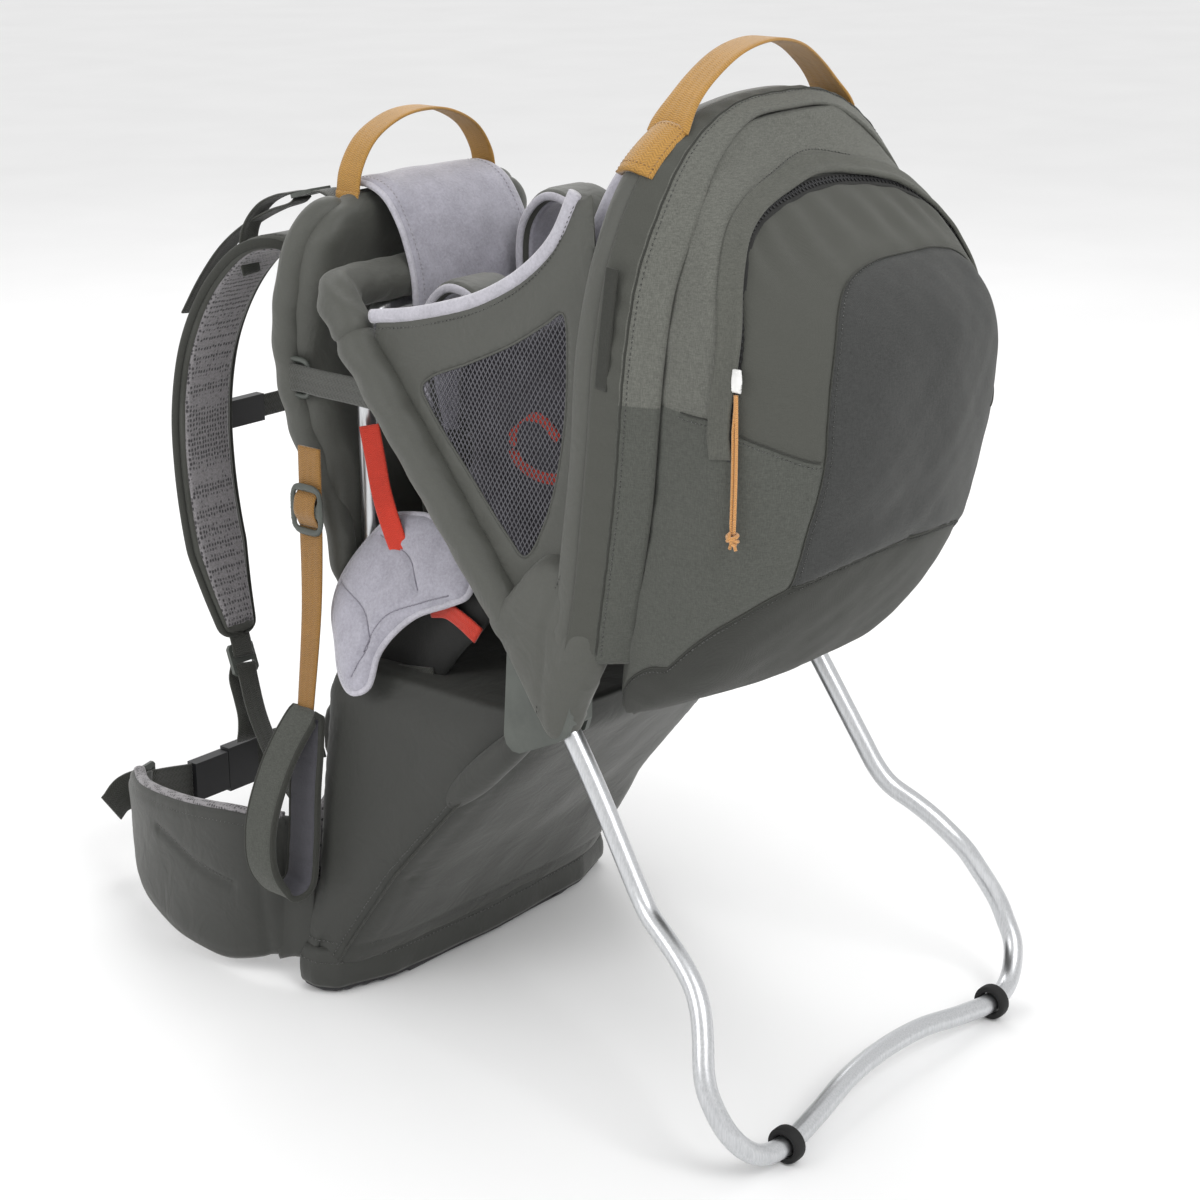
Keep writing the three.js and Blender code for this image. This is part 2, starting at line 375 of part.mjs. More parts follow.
// ---------------------------------------------------------------- carry handles and drool pad
{
  const fh = smooth([[-80, 38, 650], [-76, 38, 668], [-60, 38, 690], [-30, 38, 705], [0, 38, 709], [30, 38, 705], [60, 38, 690], [76, 38, 668], [80, 38, 650]], 14);
  add('front_handle', band(fh, WEB, 2.6, [0, 1, 0]), M.ochre);
  const rh = smooth([[-104, -298, 729.8], [-88, -298, 743], [-66, -299, 763], [-36, -301, 780], [0, -302, 786], [36, -301, 780], [66, -299, 763], [88, -298, 743], [104, -298, 729.8]], 14);
  add('rear_handle', band(rh, 30, 2.6, [0, 1, 0]), M.ochre);
  const dp = smooth([[0, 56, 653.5], [0, 30, 658], [0, 8, 650], [0, -8, 630], [0, -17, 609], [0, -22.5, 588], [0, -24, 560], [0, -24, 528]], 12);
  add('drool_pad', band(dp, 140, 8, [1, 0, 0]), M.fleece);
  pair('compression_buckle', place(ladderLock(34, 34, 4, 27, 6), [0, 1, 0], [0, 0, 1], [129.5, 52, 509]), M.plastic);
}

group.position.set(0, Y_SHIFT, 0);
group.updateMatrixWorld(true);
export default group;
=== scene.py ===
import bpy
import math
import numpy as np
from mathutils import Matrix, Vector
from mathutils.geometry import delaunay_2d_cdt


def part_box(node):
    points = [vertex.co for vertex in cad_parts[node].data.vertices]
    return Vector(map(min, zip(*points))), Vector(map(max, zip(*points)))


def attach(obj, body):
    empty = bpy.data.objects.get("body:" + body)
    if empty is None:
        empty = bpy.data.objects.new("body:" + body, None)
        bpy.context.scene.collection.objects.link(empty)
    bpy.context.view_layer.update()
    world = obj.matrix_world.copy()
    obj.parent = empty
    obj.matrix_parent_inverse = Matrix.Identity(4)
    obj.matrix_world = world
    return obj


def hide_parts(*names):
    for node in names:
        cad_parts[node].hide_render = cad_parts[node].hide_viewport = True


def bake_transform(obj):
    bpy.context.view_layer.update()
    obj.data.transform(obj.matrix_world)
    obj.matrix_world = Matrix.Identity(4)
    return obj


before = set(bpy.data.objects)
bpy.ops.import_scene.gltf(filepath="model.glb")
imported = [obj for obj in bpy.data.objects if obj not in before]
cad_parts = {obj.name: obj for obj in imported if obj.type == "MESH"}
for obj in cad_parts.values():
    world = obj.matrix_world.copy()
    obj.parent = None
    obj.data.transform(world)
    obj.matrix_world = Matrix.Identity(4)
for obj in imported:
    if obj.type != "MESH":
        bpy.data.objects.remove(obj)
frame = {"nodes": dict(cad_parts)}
for _n in ("Cube", "Light", "Camera"):      # Blender's start-up objects
    if _n in bpy.data.objects:
        bpy.data.objects.remove(bpy.data.objects[_n])
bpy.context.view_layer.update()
CAD = frame["nodes"]
YS = 72.1          # design frame -> part frame, along y, mm
sc = bpy.context.scene

# ------------------------------------------------------------------ camera
cam = bpy.data.cameras.new("camera")
cam.lens, cam.sensor_width = 73.5, 36.0
cam.clip_start, cam.clip_end = 0.05, 60
cam_ob = bpy.data.objects.new("camera", cam)
sc.collection.objects.link(cam_ob)
cam_ob.location = (-1.4372, -1.3487 + YS / 1000, 0.9607)
th, el = math.radians(50.257), math.radians(18.565)
fwd = Vector((math.cos(el) * math.sin(th), math.cos(el) * math.cos(th), -math.sin(el)))
cam_ob.rotation_mode = "QUATERNION"
cam_ob.rotation_quaternion = fwd.to_track_quat("-Z", "Y")
sc.camera = cam_ob
sc.view_settings.view_transform = "Standard"


# ------------------------------------------------------------------ materials
def lin(r, g, b):
    return tuple(((c / 255) / 12.92 if c / 255 <= 0.04045 else ((c / 255 + 0.055) / 1.055) ** 2.4) for c in (r, g, b)) + (1.0,)


class Mat:
    def __init__(self, name, rough=0.8, metallic=0.0, sheen=0.0, spec=0.5, coat=0.0):
        self.m = bpy.data.materials.new(name)
        self.m.use_nodes = True
        self.nt = self.m.node_tree
        self.nt.nodes.clear()
        self.out = self.nt.nodes.new("ShaderNodeOutputMaterial")
        self.b = self.nt.nodes.new("ShaderNodeBsdfPrincipled")
        self.nt.links.new(self.b.outputs[0], self.out.inputs[0])
        self.b.inputs["Roughness"].default_value = rough
        self.b.inputs["Metallic"].default_value = metallic
        self.b.inputs["Sheen Weight"].default_value = sheen
        self.b.inputs["Sheen Roughness"].default_value = 0.45
        self.b.inputs["Specular IOR Level"].default_value = spec
        self.b.inputs["Coat Weight"].default_value = coat
        self.tc = self.nt.nodes.new("ShaderNodeTexCoord")
        self.obj = self.tc.outputs["Object"]
        self.uv = self.tc.outputs["UV"]

    def put(self, sock, v):
        if isinstance(v, bpy.types.NodeSocket):
            self.nt.links.new(v, sock)
        elif v is not None:
            sock.default_value = v

    def node(self, kind, ins=(), **props):
        n = self.nt.nodes.new("ShaderNode" + kind)
        for k, v in props.items():
            setattr(n, k, v)
        for k, v in dict(ins).items():
            self.put(n.inputs[k], v)
        return n

    def math(self, op, a, b=None, c=None):
        n = self.nt.nodes.new("ShaderNodeMath")
        n.operation = op
        for i, v in enumerate((a, b, c)):
            self.put(n.inputs[i], v)
        return n.outputs[0]

    def scaled(self, vec, s):
        return self.node("Mapping", {"Vector": vec, "Scale": s}).outputs[0]

    def noise(self, vec, scale, detail=2.0, rough=0.5, dist=0.0):
        return self.node("TexNoise", {"Vector": vec, "Scale": scale, "Detail": detail, "Roughness": rough, "Distortion": dist}).outputs["Fac"]

    def xyz(self, vec):
        n = self.node("SeparateXYZ", {0: vec})
        return n.outputs[0], n.outputs[1], n.outputs[2]

    def mix(self, fac, a, b):
        n = self.nt.nodes.new("ShaderNodeMix")
        n.data_type = "RGBA"
        self.put(n.inputs[0], fac)
        self.put(n.inputs[6], a)
        self.put(n.inputs[7], b)
        return n.outputs[2]

    def ramp(self, fac, p0, p1):
        n = self.node("MapRange", {"Value": fac, "From Min": p0, "From Max": p1})
        return n.outputs[0]

    def bump(self, height, strength, dist, prev=None):
        n = self.node("Bump", {"Height": height, "Strength": strength, "Distance": dist})
        if prev is not None:
            self.put(n.inputs["Normal"], prev)
        return n.outputs[0]

    def finish(self, color, normal=None, rough=None):
        self.put(self.b.inputs["Base Color"], color)
        if normal is not None:
            self.put(self.b.inputs["Normal"], normal)
        if rough is not None:
            self.put(self.b.inputs["Roughness"], rough)
        return self.m


def shade(c, k):
    return tuple(min(1.0, x * k) for x in c[:3]) + (1.0,)


def cloth(name, rgb, heather=0.2, thread=1.0, rough=0.8, sheen=0.25, crumple=0.25, weave=0.35, spec=0.3, regions=None):
    """woven cloth: streaky threads along and across, fine weave relief, soft crumples; regions blends other colours by vertex attributes"""
    M = Mat(name, rough, sheen=sheen * 0.55, spec=spec)
    M.b.inputs["Sheen Tint"].default_value = (0.9, 0.9, 0.86, 1)
    o = M.obj
    x, y, z = M.xyz(o)
    h = M.math("ADD", M.math("MULTIPLY", x, 0.93), M.math("MULTIPLY", y, 1.07))
    warp = M.noise(M.scaled(o, (1300 / thread, 1300 / thread, 260 / thread)), 1.0, 2)
    weft = M.noise(M.scaled(o, (240 / thread, 240 / thread, 1500 / thread)), 1.0, 2)
    fine = M.noise(o, 900 / thread, 1)
    st = M.math("ADD", M.math("MULTIPLY", warp, 0.45), M.math("ADD", M.math("MULTIPLY", weft, 0.4), M.math("MULTIPLY", fine, 0.15)))
    st = M.ramp(st, 0.34, 0.66)
    big = M.noise(o, 9, 3, 0.55)
    base = shade(lin(*rgb), 0.62)

    def tint(c):
        a = M.mix(st, shade(c, 1 - heather), shade(c, 1 + heather))
        return M.mix(M.ramp(big, 0.35, 0.65), a, M.mix(0.10, a, shade(c, 1.5)))
    col = tint(base)
    for attr, rgb2, h2, soft in (regions or []):
        at = M.node("Attribute", attribute_name=attr).outputs["Fac"]
        f = M.ramp(at, -soft, soft)
        c2 = shade(lin(*rgb2), 0.62)
        a2 = M.mix(st, shade(c2, 1 - h2), shade(c2, 1 + h2))
        a2 = M.mix(M.ramp(big, 0.35, 0.65), a2, M.mix(0.08, a2, shade(c2, 1.5)))
        col = M.mix(f, col, a2)
    k = 2 * math.pi / (0.0011 * thread)
    wv = M.math("MULTIPLY", M.math("SINE", M.math("MULTIPLY", h, k)), M.math("SINE", M.math("MULTIPLY", z, k)))
    hgt = M.math("ADD", M.math("MULTIPLY", wv, 0.5), M.math("MULTIPLY", st, 0.8))
    n = M.bump(hgt, weave, 0.0004)
    if crumple:
        cr = M.noise(o, 26, 3, 0.55, 0.6)
        n = M.bump(cr, crumple, 0.006, n)
    r = M.math("ADD", rough - 0.06, M.math("MULTIPLY", big, 0.14))
    return M.finish(col, n, r)


def fleece(name, rgb):
    M = Mat(name, 0.95, sheen=0.6, spec=0.15)
    o = M.obj
    a = M.noise(o, 420, 3, 0.7)
    b = M.noise(o, 60, 3, 0.6)
    c = lin(*rgb)
    col = M.mix(M.ramp(M.math("ADD", M.math("MULTIPLY", a, 0.6), M.math("MULTIPLY", b, 0.4)), 0.36, 0.64), shade(c, 0.84), shade(c, 1.14))
    n = M.bump(a, 0.55, 0.0011)
    n = M.bump(M.noise(o, 30, 2, 0.5, 0.4), 0.18, 0.006, n)
    return M.finish(col, n)


def webbing(name, rgb, rib=0.0019, herring=True, wear=0.15):
    """flat woven webbing; u runs across and v along, in metres; the colour is painted darker in the rib grooves as
    shade
    """
    M = Mat(name, 0.72, sheen=0.3, spec=0.35)
    u, v, _ = M.xyz(M.uv)
    ph = M.math("MULTIPLY", v, 2 * math.pi / rib)
    if herring:
        tri = M.math("PINGPONG", u, 0.0032)
        ph = M.math("ADD", ph, M.math("MULTIPLY", tri, 2 * math.pi / 0.0032))
    rib_relief_and_shade = M.math("SINE", ph)
    cross = M.math("SINE", M.math("MULTIPLY", u, 2 * math.pi / 0.0013))
    o = M.obj
    f = M.noise(o, 500, 2)
    big = M.noise(o, 22, 3)
    c = lin(*rgb)
    # painted shade: the colour follows the rib relief, darker in the grooves, over random yarn tone
    fac = M.math("ADD", M.math("MULTIPLY", rib_relief_and_shade, 0.22), M.math("ADD", M.math("MULTIPLY", f, 0.6), M.math("MULTIPLY", big, 0.4)))
    col = M.mix(M.ramp(fac, 0.15, 0.85), shade(c, 1 - 0.28), shade(c, 1 + 0.2))
    col = M.mix(M.math("MULTIPLY", M.ramp(big, 0.55, 0.75), wear), col, shade(c, 1.6))
    hgt = M.math("ADD", M.math("MULTIPLY", rib_relief_and_shade, 0.5), M.math("MULTIPLY", cross, 0.25))
    n = M.bump(hgt, 0.6, 0.0005)
    return M.finish(col, n)


def spacer(name, rgb, hole_colour_and_shade=(76, 74, 76)):
    """three-layer spacer mesh: rows of open cells, painted darker inside, partly the core's own colour and partly
    painted shade in the cell depths
    """
    M = Mat(name, 0.85, sheen=0.25, spec=0.3)
    o = M.obj
    v1 = M.node("TexVoronoi", {"Vector": M.scaled(o, (1.0, 1.0, 0.72)), "Scale": 330.0, "Randomness": 0.3}, feature="F1").outputs["Distance"]
    f = M.ramp(v1, 0.26, 0.44)
    b = M.noise(o, 700, 2)
    c = lin(*rgb)
    thread = M.mix(M.ramp(b, 0.3, 0.7), shade(c, 0.8), shade(c, 1.2))
    # open cells painted dark: the core's colour plus painted shade in the cells' depth
    col = M.mix(f, lin(*hole_colour_and_shade), thread)
    n = M.bump(f, 0.8, 0.0012)
    return M.finish(col, n)


def aluminium(name):
    M = Mat(name, 0.3, metallic=1.0)
    o = M.obj
    a = M.noise(M.scaled(o, (900, 900, 60)), 1.0, 3, 0.6)
    b = M.noise(o, 14, 3)
    col = M.mix(M.ramp(a, 0.3, 0.7), lin(192, 194, 196), lin(214, 215, 217))
    r = M.math("ADD", 0.22, M.math("ADD", M.math("MULTIPLY", a, 0.1), M.math("MULTIPLY", b, 0.08)))
    return M.finish(col, M.bump(a, 0.12, 0.0002), r)


def plastic(name, rgb, rough=0.42, spec=0.5, grain=0.25):
    M = Mat(name, rough, spec=spec)
    o = M.obj
    a = M.noise(o, 1400, 2)
    b = M.noise(o, 40, 4, 0.6)
    c = lin(*rgb)
    col = M.mix(M.ramp(b, 0.35, 0.65), shade(c, 0.86), shade(c, 1.16))
    r = M.math("ADD", rough - 0.08, M.math("MULTIPLY", b, 0.16))
    return M.finish(col, M.bump(a, grain, 0.0003), r)


def cordmat(name, rgb):
    M = Mat(name, 0.8, sheen=0.4, spec=0.3)
    o = M.obj
    x, y, z = M.xyz(o)
    braid_relief_and_shade = M.math("SINE", M.math("ADD", M.math("MULTIPLY", z, 2 * math.pi / 0.0016), M.math("MULTIPLY", M.math("ADD", x, y), 2 * math.pi / 0.0013)))
    f = M.noise(o, 900, 2)
    c = lin(*rgb)
    # braid pattern, painted darker in the grooves between strands as shade
    col = M.mix(M.ramp(M.math("ADD", M.math("MULTIPLY", braid_relief_and_shade, 0.3), f), 0.1, 0.9), shade(c, 0.7), shade(c, 1.2))
    return M.finish(col, M.bump(braid_relief_and_shade, 0.6, 0.0004))


SATIN = cloth("satin_cloth", (94, 95, 89), heather=0.07, rough=0.54, sheen=0.35, crumple=0.5, weave=0.12, spec=0.4)
SATIN_DK = cloth("satin_cloth_dark", (62, 63, 59), heather=0.07, rough=0.55, sheen=0.3, crumple=0.3, weave=0.12, spec=0.4)
HEATHER = cloth("heather_cloth", (92, 94, 88), heather=0.3, rough=0.86, sheen=0.25, crumple=0.14, weave=0.45)
CHARCOAL = cloth("charcoal_cloth", (74, 73, 80), heather=0.18, rough=0.88, sheen=0.3, crumple=0.3, weave=0.3)
LINING = cloth("quilted_lining", (92, 91, 98), heather=0.12, rough=0.75, sheen=0.35, crumple=0.3, weave=0.15)
BINDING = cloth("binding_cloth", (66, 67, 62), heather=0.16, rough=0.8, sheen=0.25, crumple=0.1, weave=0.4)
DARK_CL = cloth("dark_cloth", (48, 48, 47), heather=0.14, rough=0.8, sheen=0.25, crumple=0.2, weave=0.3)
FLEECE = fleece("grey_fleece", (163, 161, 171))
FLEECE_BIND = fleece("fleece_binding", (178, 176, 184))
OCHRE = webbing("ochre_webbing", (172, 128, 60))
OCHRE_DK = webbing("ochre_webbing_narrow", (142, 102, 46))
OLIVE_WEB = webbing("olive_webbing", (62, 63, 58))
RED_WEB = webbing("red_webbing", (200, 54, 34), rib=0.0016)
SPACER = spacer("spacer_mesh", (138, 135, 137))
NET = plastic("net_yarn", (88, 87, 92), 0.6, 0.4, 0.4)
ALU = aluminium("satin_aluminium")
STEEL = aluminium("steel_pin")
PLASTIC = plastic("hardware_plastic", (74, 78, 73), 0.4)
BLACK = plastic("black_plastic", (30, 30, 32), 0.5)
RUBBER = plastic("rubber_black", (26, 26, 26), 0.7, 0.35, 0.5)
SILVER = plastic("slider_metal", (222, 222, 220), 0.3, 0.7, 0.1)
CORD = cordmat("tan_cord", (204, 148, 88))
THREAD = cordmat("sewing_thread", (58, 59, 55))
THREAD_LT = cordmat("sewing_thread_light", (150, 146, 150))
THREAD_OC = cordmat("sewing_thread_ochre", (150, 106, 44))


# ------------------------------------------------------------------ mesh helpers (design frame, mm)
def mk(name, V, F, mat, body, slot=None, rep=(), luv=None, attrs=None, smooth=True):
    W = np.asarray(V, float) * 1e-3
    W[:, 1] += YS * 1e-3
    me = bpy.data.meshes.new(name)
    me.from_pydata(W.tolist(), [], [list(map(int, f)) for f in F])
    if luv is not None:
        lay = me.uv_layers.new(name="UVMap")
        flat = np.array([c for f in luv for c in f], np.float32).ravel()
        lay.data.foreach_set("uv", flat)
    for k, a in (attrs or {}).items():
        at = me.attributes.new(k, "FLOAT", "POINT")
        at.data.foreach_set("value", np.asarray(a, np.float32))
    if smooth:
        me.polygons.foreach_set("use_smooth", [True] * len(me.polygons))
    me.materials.append(mat)
    me.update()
    ob = bpy.data.objects.new(name, me)
    sc.collection.objects.link(ob)
    if body:
        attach(ob, body)
    if rep:
        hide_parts(*([rep] if isinstance(rep, str) else rep))
    return ob


def cr(pts, closed=False, sub=14):
    """centripetal Catmull-Rom through pts, dense"""
    p = np.asarray(pts, float)
    n = len(p)
    out = []
    segs = n if closed else n - 1
    for i in range(segs):
        if closed:
            a, b, c, d = p[(i - 1) % n], p[i], p[(i + 1) % n], p[(i + 2) % n]
        else:
            b, c = p[i], p[i + 1]
            a = p[i - 1] if i > 0 else 2 * b - c
            d = p[i + 2] if i + 2 < n else 2 * c - b
        t0 = 0.0
        t1 = t0 + max(np.linalg.norm(b - a), 1e-9) ** 0.5
        t2 = t1 + max(np.linalg.norm(c - b), 1e-9) ** 0.5
        t3 = t2 + max(np.linalg.norm(d - c), 1e-9) ** 0.5
        for t in np.linspace(t1, t2, sub, endpoint=False):
            A1 = (t1 - t) / (t1 - t0) * a + (t - t0) / (t1 - t0) * b
            A2 = (t2 - t) / (t2 - t1) * b + (t - t1) / (t2 - t1) * c
            A3 = (t3 - t) / (t3 - t2) * c + (t - t2) / (t3 - t2) * d
            B1 = (t2 - t) / (t2 - t0) * A1 + (t - t0) / (t2 - t0) * A2
            B2 = (t3 - t) / (t3 - t1) * A2 + (t - t1) / (t3 - t1) * A3
            out.append((t2 - t) / (t2 - t1) * B1 + (t - t1) / (t2 - t1) * B2)
    if not closed:
        out.append(p[-1])
    return np.array(out)


def resample(P, n=None, step=None, closed=False):
    Q = np.vstack([P, P[:1]]) if closed else P
    L = np.concatenate([[0], np.cumsum(np.linalg.norm(np.diff(Q, axis=0), axis=1))])
    if n is None:
        n = max(2, int(round(L[-1] / step)))
    t = np.linspace(0, L[-1], n + 1)
    R = np.stack([np.interp(t, L, Q[:, k]) for k in range(Q.shape[1])], 1)
    return R[:-1] if closed else R


def path(pts, step=4.0, closed=False, n=None):
    return resample(cr(pts, closed), n=n, step=step, closed=closed)


def mirrored(pts):
    return [tuple(p) for p in pts] + [(-p[0],) + tuple(p[1:]) for p in pts[::-1][1:]]


def unit(a):
    return a / np.maximum(np.linalg.norm(a, axis=-1, keepdims=True), 1e-12)


def tangents(P, closed=False):
    if closed:
        return unit(np.roll(P, -1, 0) - np.roll(P, 1, 0))
    return unit(np.gradient(P, axis=0))


def rmf(P, n0=(1, 0, 0), closed=False):
    T = tangents(P, closed)
    n = np.array(n0, float)
    N = np.zeros_like(P)
    for i in range(len(P)):
        n = n - T[i] * n.dot(T[i])
        n = n / np.linalg.norm(n)
        N[i] = n
    if closed:      # spread the leftover twist
        n = N[-1] - T[0] * N[-1].dot(T[0])
        n /= np.linalg.norm(n)
        ang = math.atan2(np.cross(N[0], n).dot(T[0]), N[0].dot(n))
        for i in range(len(P)):
            a = -ang * i / len(P)
            N[i] = N[i] * math.cos(a) + np.cross(T[i], N[i]) * math.sin(a)
    return T, N, np.cross(T, N)


def sided(P, side, closed=False):
    T = tangents(P, closed)
    s = np.array([side(i / max(1, len(P) - 1)) if callable(side) else side for i in range(len(P))], float)
    N = unit(s - T * (s * T).sum(1, keepdims=True))
    return T, N, np.cross(T, N)


def sweep(P, sec, N, B, closed=False, cap=True):
    """sec: (k,2) or (m,k,2), along N and B. Returns V, F, per-corner uv (metres)."""
    m = len(P)
    sec = np.asarray(sec, float)
    if sec.ndim == 2:
        sec = np.repeat(sec[None], m, 0)
    k = sec.shape[1]
    V = P[:, None] + sec[..., :1] * N[:, None] + sec[..., 1:2] * B[:, None]
    ring = sec[m // 2]
    U = np.concatenate([[0], np.cumsum(np.linalg.norm(np.roll(ring, -1, 0) - ring, axis=1))]) * 1e-3
    Q = np.vstack([P, P[:1]]) if closed else P
    L = np.concatenate([[0], np.cumsum(np.linalg.norm(np.diff(Q, axis=0), axis=1))]) * 1e-3
    F, UV = [], []
    for i in range(m if closed else m - 1):
        a, b = i * k, ((i + 1) % m) * k
        for j in range(k):
            q = (j + 1) % k
            F.append((a + j, a + q, b + q, b + j))
            UV.append(((U[j], L[i]), (U[j + 1], L[i]), (U[j + 1], L[i + 1]), (U[j], L[i + 1])))
    V = V.reshape(-1, 3)
    if cap and not closed:
        for r, flip in ((0, True), (m - 1, False)):
            c = len(V)
            V = np.vstack([V, V[r * k:(r + 1) * k].mean(0)[None]])
            for j in range(k):
                q = (j + 1) % k
                f = (c, r * k + q, r * k + j) if flip else (c, r * k + j, r * k + q)
                F.append(f)
                UV.append(tuple((0.0, L[-1] if not flip else 0.0) for _ in f))
    return V, F, UV


def outward(V, F, UV=None):
    """turn every face round if the closed mesh is inside out"""
    v = 0.0
    for n in (3, 4):
        q = np.array([f for f in F if len(f) == n])
        if len(q):
            for i in range(1, n - 1):
                v += np.einsum("ij,ij->i", V[q[:, 0]], np.cross(V[q[:, i]], V[q[:, i + 1]])).sum()
    if v < 0:
        F = [f[::-1] for f in F]
        UV = [u[::-1] for u in UV] if UV is not None else None
    return V, F, UV


def circ(r, k=24):
    a = np.arange(k) * 2 * np.pi / k
    return np.stack([r * np.cos(a), r * np.sin(a)], 1)


def flat(w, t, k=4, mid=6):
    """rounded flat section, w along N and t along B"""
    r = t / 2
    a = np.linspace(-np.pi / 2, np.pi / 2, k)
    right = np.stack([w / 2 - r + r * np.cos(a), r * np.sin(a)], 1)
    top = np.stack([np.linspace(w / 2 - r, -w / 2 + r, mid + 2)[1:-1], np.full(mid, r)], 1)
    left = -right
    bot = -top
    return np.vstack([right, top, left, bot])


def puff(w, t, edge=2.0, k=18, p=2.6):
    """crowned section: thick in the middle, thin at both edges"""
    x = np.cos(np.linspace(0, np.pi, k))
    h = edge / 2 + (t - edge) / 2 * np.clip(1 - np.abs(x) ** p, 0, 1) ** 0.6
    top = np.stack([x * w / 2, h], 1)
    bot = np.stack([x[::-1] * w / 2, -h[::-1]], 1)
    return np.vstack([top, bot])


def tube(name, P, r, mat, body, slot=None, rep=(), k=24, closed=False, rf=None, n0=(1, 0, 0), cap=True):
    T, N, B = rmf(P, n0, closed)
    m = len(P)
    a = np.arange(k) * 2 * np.pi / k
    R = np.full((m, k), float(r))
    if rf is not None:
        R = rf(np.linspace(0, 1, m)[:, None], a[None, :], P)
    sec = np.stack([R * np.cos(a), R * np.sin(a)], -1)
    V, F, UV = outward(*sweep(P, sec, N, B, closed, cap))
    return mk(name, V, F, mat, body, slot, rep, luv=UV)


def strap(name, P, w, t, side, mat, body, slot=None, rep=(), closed=False, section=None, parts=None, mid=6):
    T, N, B = sided(P, side, closed)
    m = len(P)
    if section is None:
        ws = [w(i / (m - 1)) if callable(w) else w for i in range(m)]
        ts = [t(i / (m - 1)) if callable(t) else t for i in range(m)]
        sec = np.array([flat(ws[i], ts[i], mid=mid) for i in range(m)])
    else:
        sec = np.array([section(i / (m - 1)) for i in range(m)])
    V, F, UV = outward(*sweep(P, sec, N, B, closed))
    return mk(name, V, F, mat, body, slot, rep, luv=UV)


def wob(P, wl, seed=0, n=8, aniso=(1, 1, 1)):
    """smooth deterministic noise from a few plane waves, wavelength about wl mm, range about -1..1"""
    r = np.random.default_rng(seed)
    d = unit(r.normal(size=(n, 3)))
    f = 2 * np.pi / (wl * r.uniform(0.7, 1.5, n))
    ph = r.uniform(0, 2 * np.pi, n)
    A = np.asarray(P) * np.asarray(aniso, float)
    return np.sin(np.einsum("...k,nk->...n", A, d) * f + ph).sum(-1) / math.sqrt(n)


def slab(P, top, bot, closed_u=False):
    """closed body from a grid of mid-surface points (m,n,3) and heights on either side"""
    m, n = P.shape[:2]
    if closed_u:
        du = np.roll(P, -1, 0) - np.roll(P, 1, 0)
    else:
        du = np.gradient(P, axis=0)
    dv = np.gradient(P, axis=1)
    N = unit(np.cross(du, dv))
    A = P + N * np.broadcast_to(top, (m, n))[..., None]
    C = P - N * np.broadcast_to(bot, (m, n))[..., None]
    V = np.vstack([A.reshape(-1, 3), C.reshape(-1, 3)])
    o = m * n
    Lu = np.concatenate([[0], np.cumsum(np.linalg.norm(np.diff(P[:, n // 2], axis=0), axis=1))]) * 1e-3
    Lu = np.append(Lu, Lu[-1] + 0.003)
    Lv = np.concatenate([[0], np.cumsum(np.linalg.norm(np.diff(P[m // 2], axis=0), axis=1))]) * 1e-3
    F, UV = [], []
    rows = m if closed_u else m - 1
    for i in range(rows):
        i2 = (i + 1) % m
        for j in range(n - 1):
            a, b, c, d = i * n + j, i2 * n + j, i2 * n + j + 1, i * n + j + 1
            uv = ((Lv[j], Lu[i]), (Lv[j], Lu[i + 1]), (Lv[j + 1], Lu[i + 1]), (Lv[j + 1], Lu[i]))
            F.append((a, b, c, d)); UV.append(uv)
            F.append((o + d, o + c, o + b, o + a)); UV.append(uv[::-1])
        for j, s in ((0, 1), (n - 1, -1)):
            a, b = i * n + j, i2 * n + j
            f = (a, o + a, o + b, b)
            F.append(f if s > 0 else f[::-1]); UV.append(((Lv[j], Lu[i]),) * 4)
    if not closed_u:
        for i, s in ((0, 1), (m - 1, -1)):
            for j in range(n - 1):
                a, b = i * n + j, i * n + j + 1
                f = (b, o + b, o + a, a)
                F.append(f if s > 0 else f[::-1]); UV.append(((Lv[j], Lu[i]),) * 4)
    return V, F, UV, N


def ruled(A, B, nu, nv):
    a, b = resample(np.asarray(A, float), n=nu), resample(np.asarray(B, float), n=nu)
    s = np.linspace(0, 1, nv + 1)[None, :, None]
    return a[:, None] * (1 - s) + b[:, None] * s


def edge_d(P, sides="uv"):
    """distance to the grid's border, measured along the grid"""
    m, n = P.shape[:2]
    lv = np.concatenate([np.zeros((m, 1)), np.cumsum(np.linalg.norm(np.diff(P, axis=1), axis=2), axis=1)], 1)
    lu = np.concatenate([np.zeros((1, n)), np.cumsum(np.linalg.norm(np.diff(P, axis=0), axis=2), axis=0)], 0)
    d = np.full((m, n), 1e9)
    if "v" in sides:
        d = np.minimum(d, np.minimum(lv, lv[:, -1:] - lv))
    if "u" in sides:
        d = np.minimum(d, np.minimum(lu, lu[-1:] - lu))
    return d, lu, lv


def crown(d, T, R, edge=0.8):
    x = np.clip(d / R, 0, 1)
    return edge + (T - edge) * np.sqrt(np.clip(1 - (1 - x) ** 2, 0, 1))


def groove(dist, depth, width):
    return depth * np.exp(-(dist / width) ** 2)


def seg_dist(X, poly):
    """distance from points X (...,2) to a polyline"""
    X = np.asarray(X)
    best = np.full(X.shape[:-1], 1e9)
    for a, b in zip(poly[:-1], poly[1:]):
        a, b = np.asarray(a, float), np.asarray(b, float)
        d = b - a
        t = np.clip(((X - a) @ d) / max(d @ d, 1e-9), 0, 1)
        best = np.minimum(best, np.linalg.norm(X - a - t[..., None] * d, axis=-1))
    return best


def inside(X, poly):
    x, y = X[..., 0], X[..., 1]
    c = np.zeros(x.shape, bool)
    p = np.asarray(poly, float)
    j = len(p) - 1
    for i in range(len(p)):
        xi, yi, xj, yj = p[i, 0], p[i, 1], p[j, 0], p[j, 1]
        hit = ((yi > y) != (yj > y)) & (x < (xj - xi) * (y - yi) / ((yj - yi) if abs(yj - yi) > 1e-12 else 1e-12) + xi)
        c ^= hit
        j = i
    return c


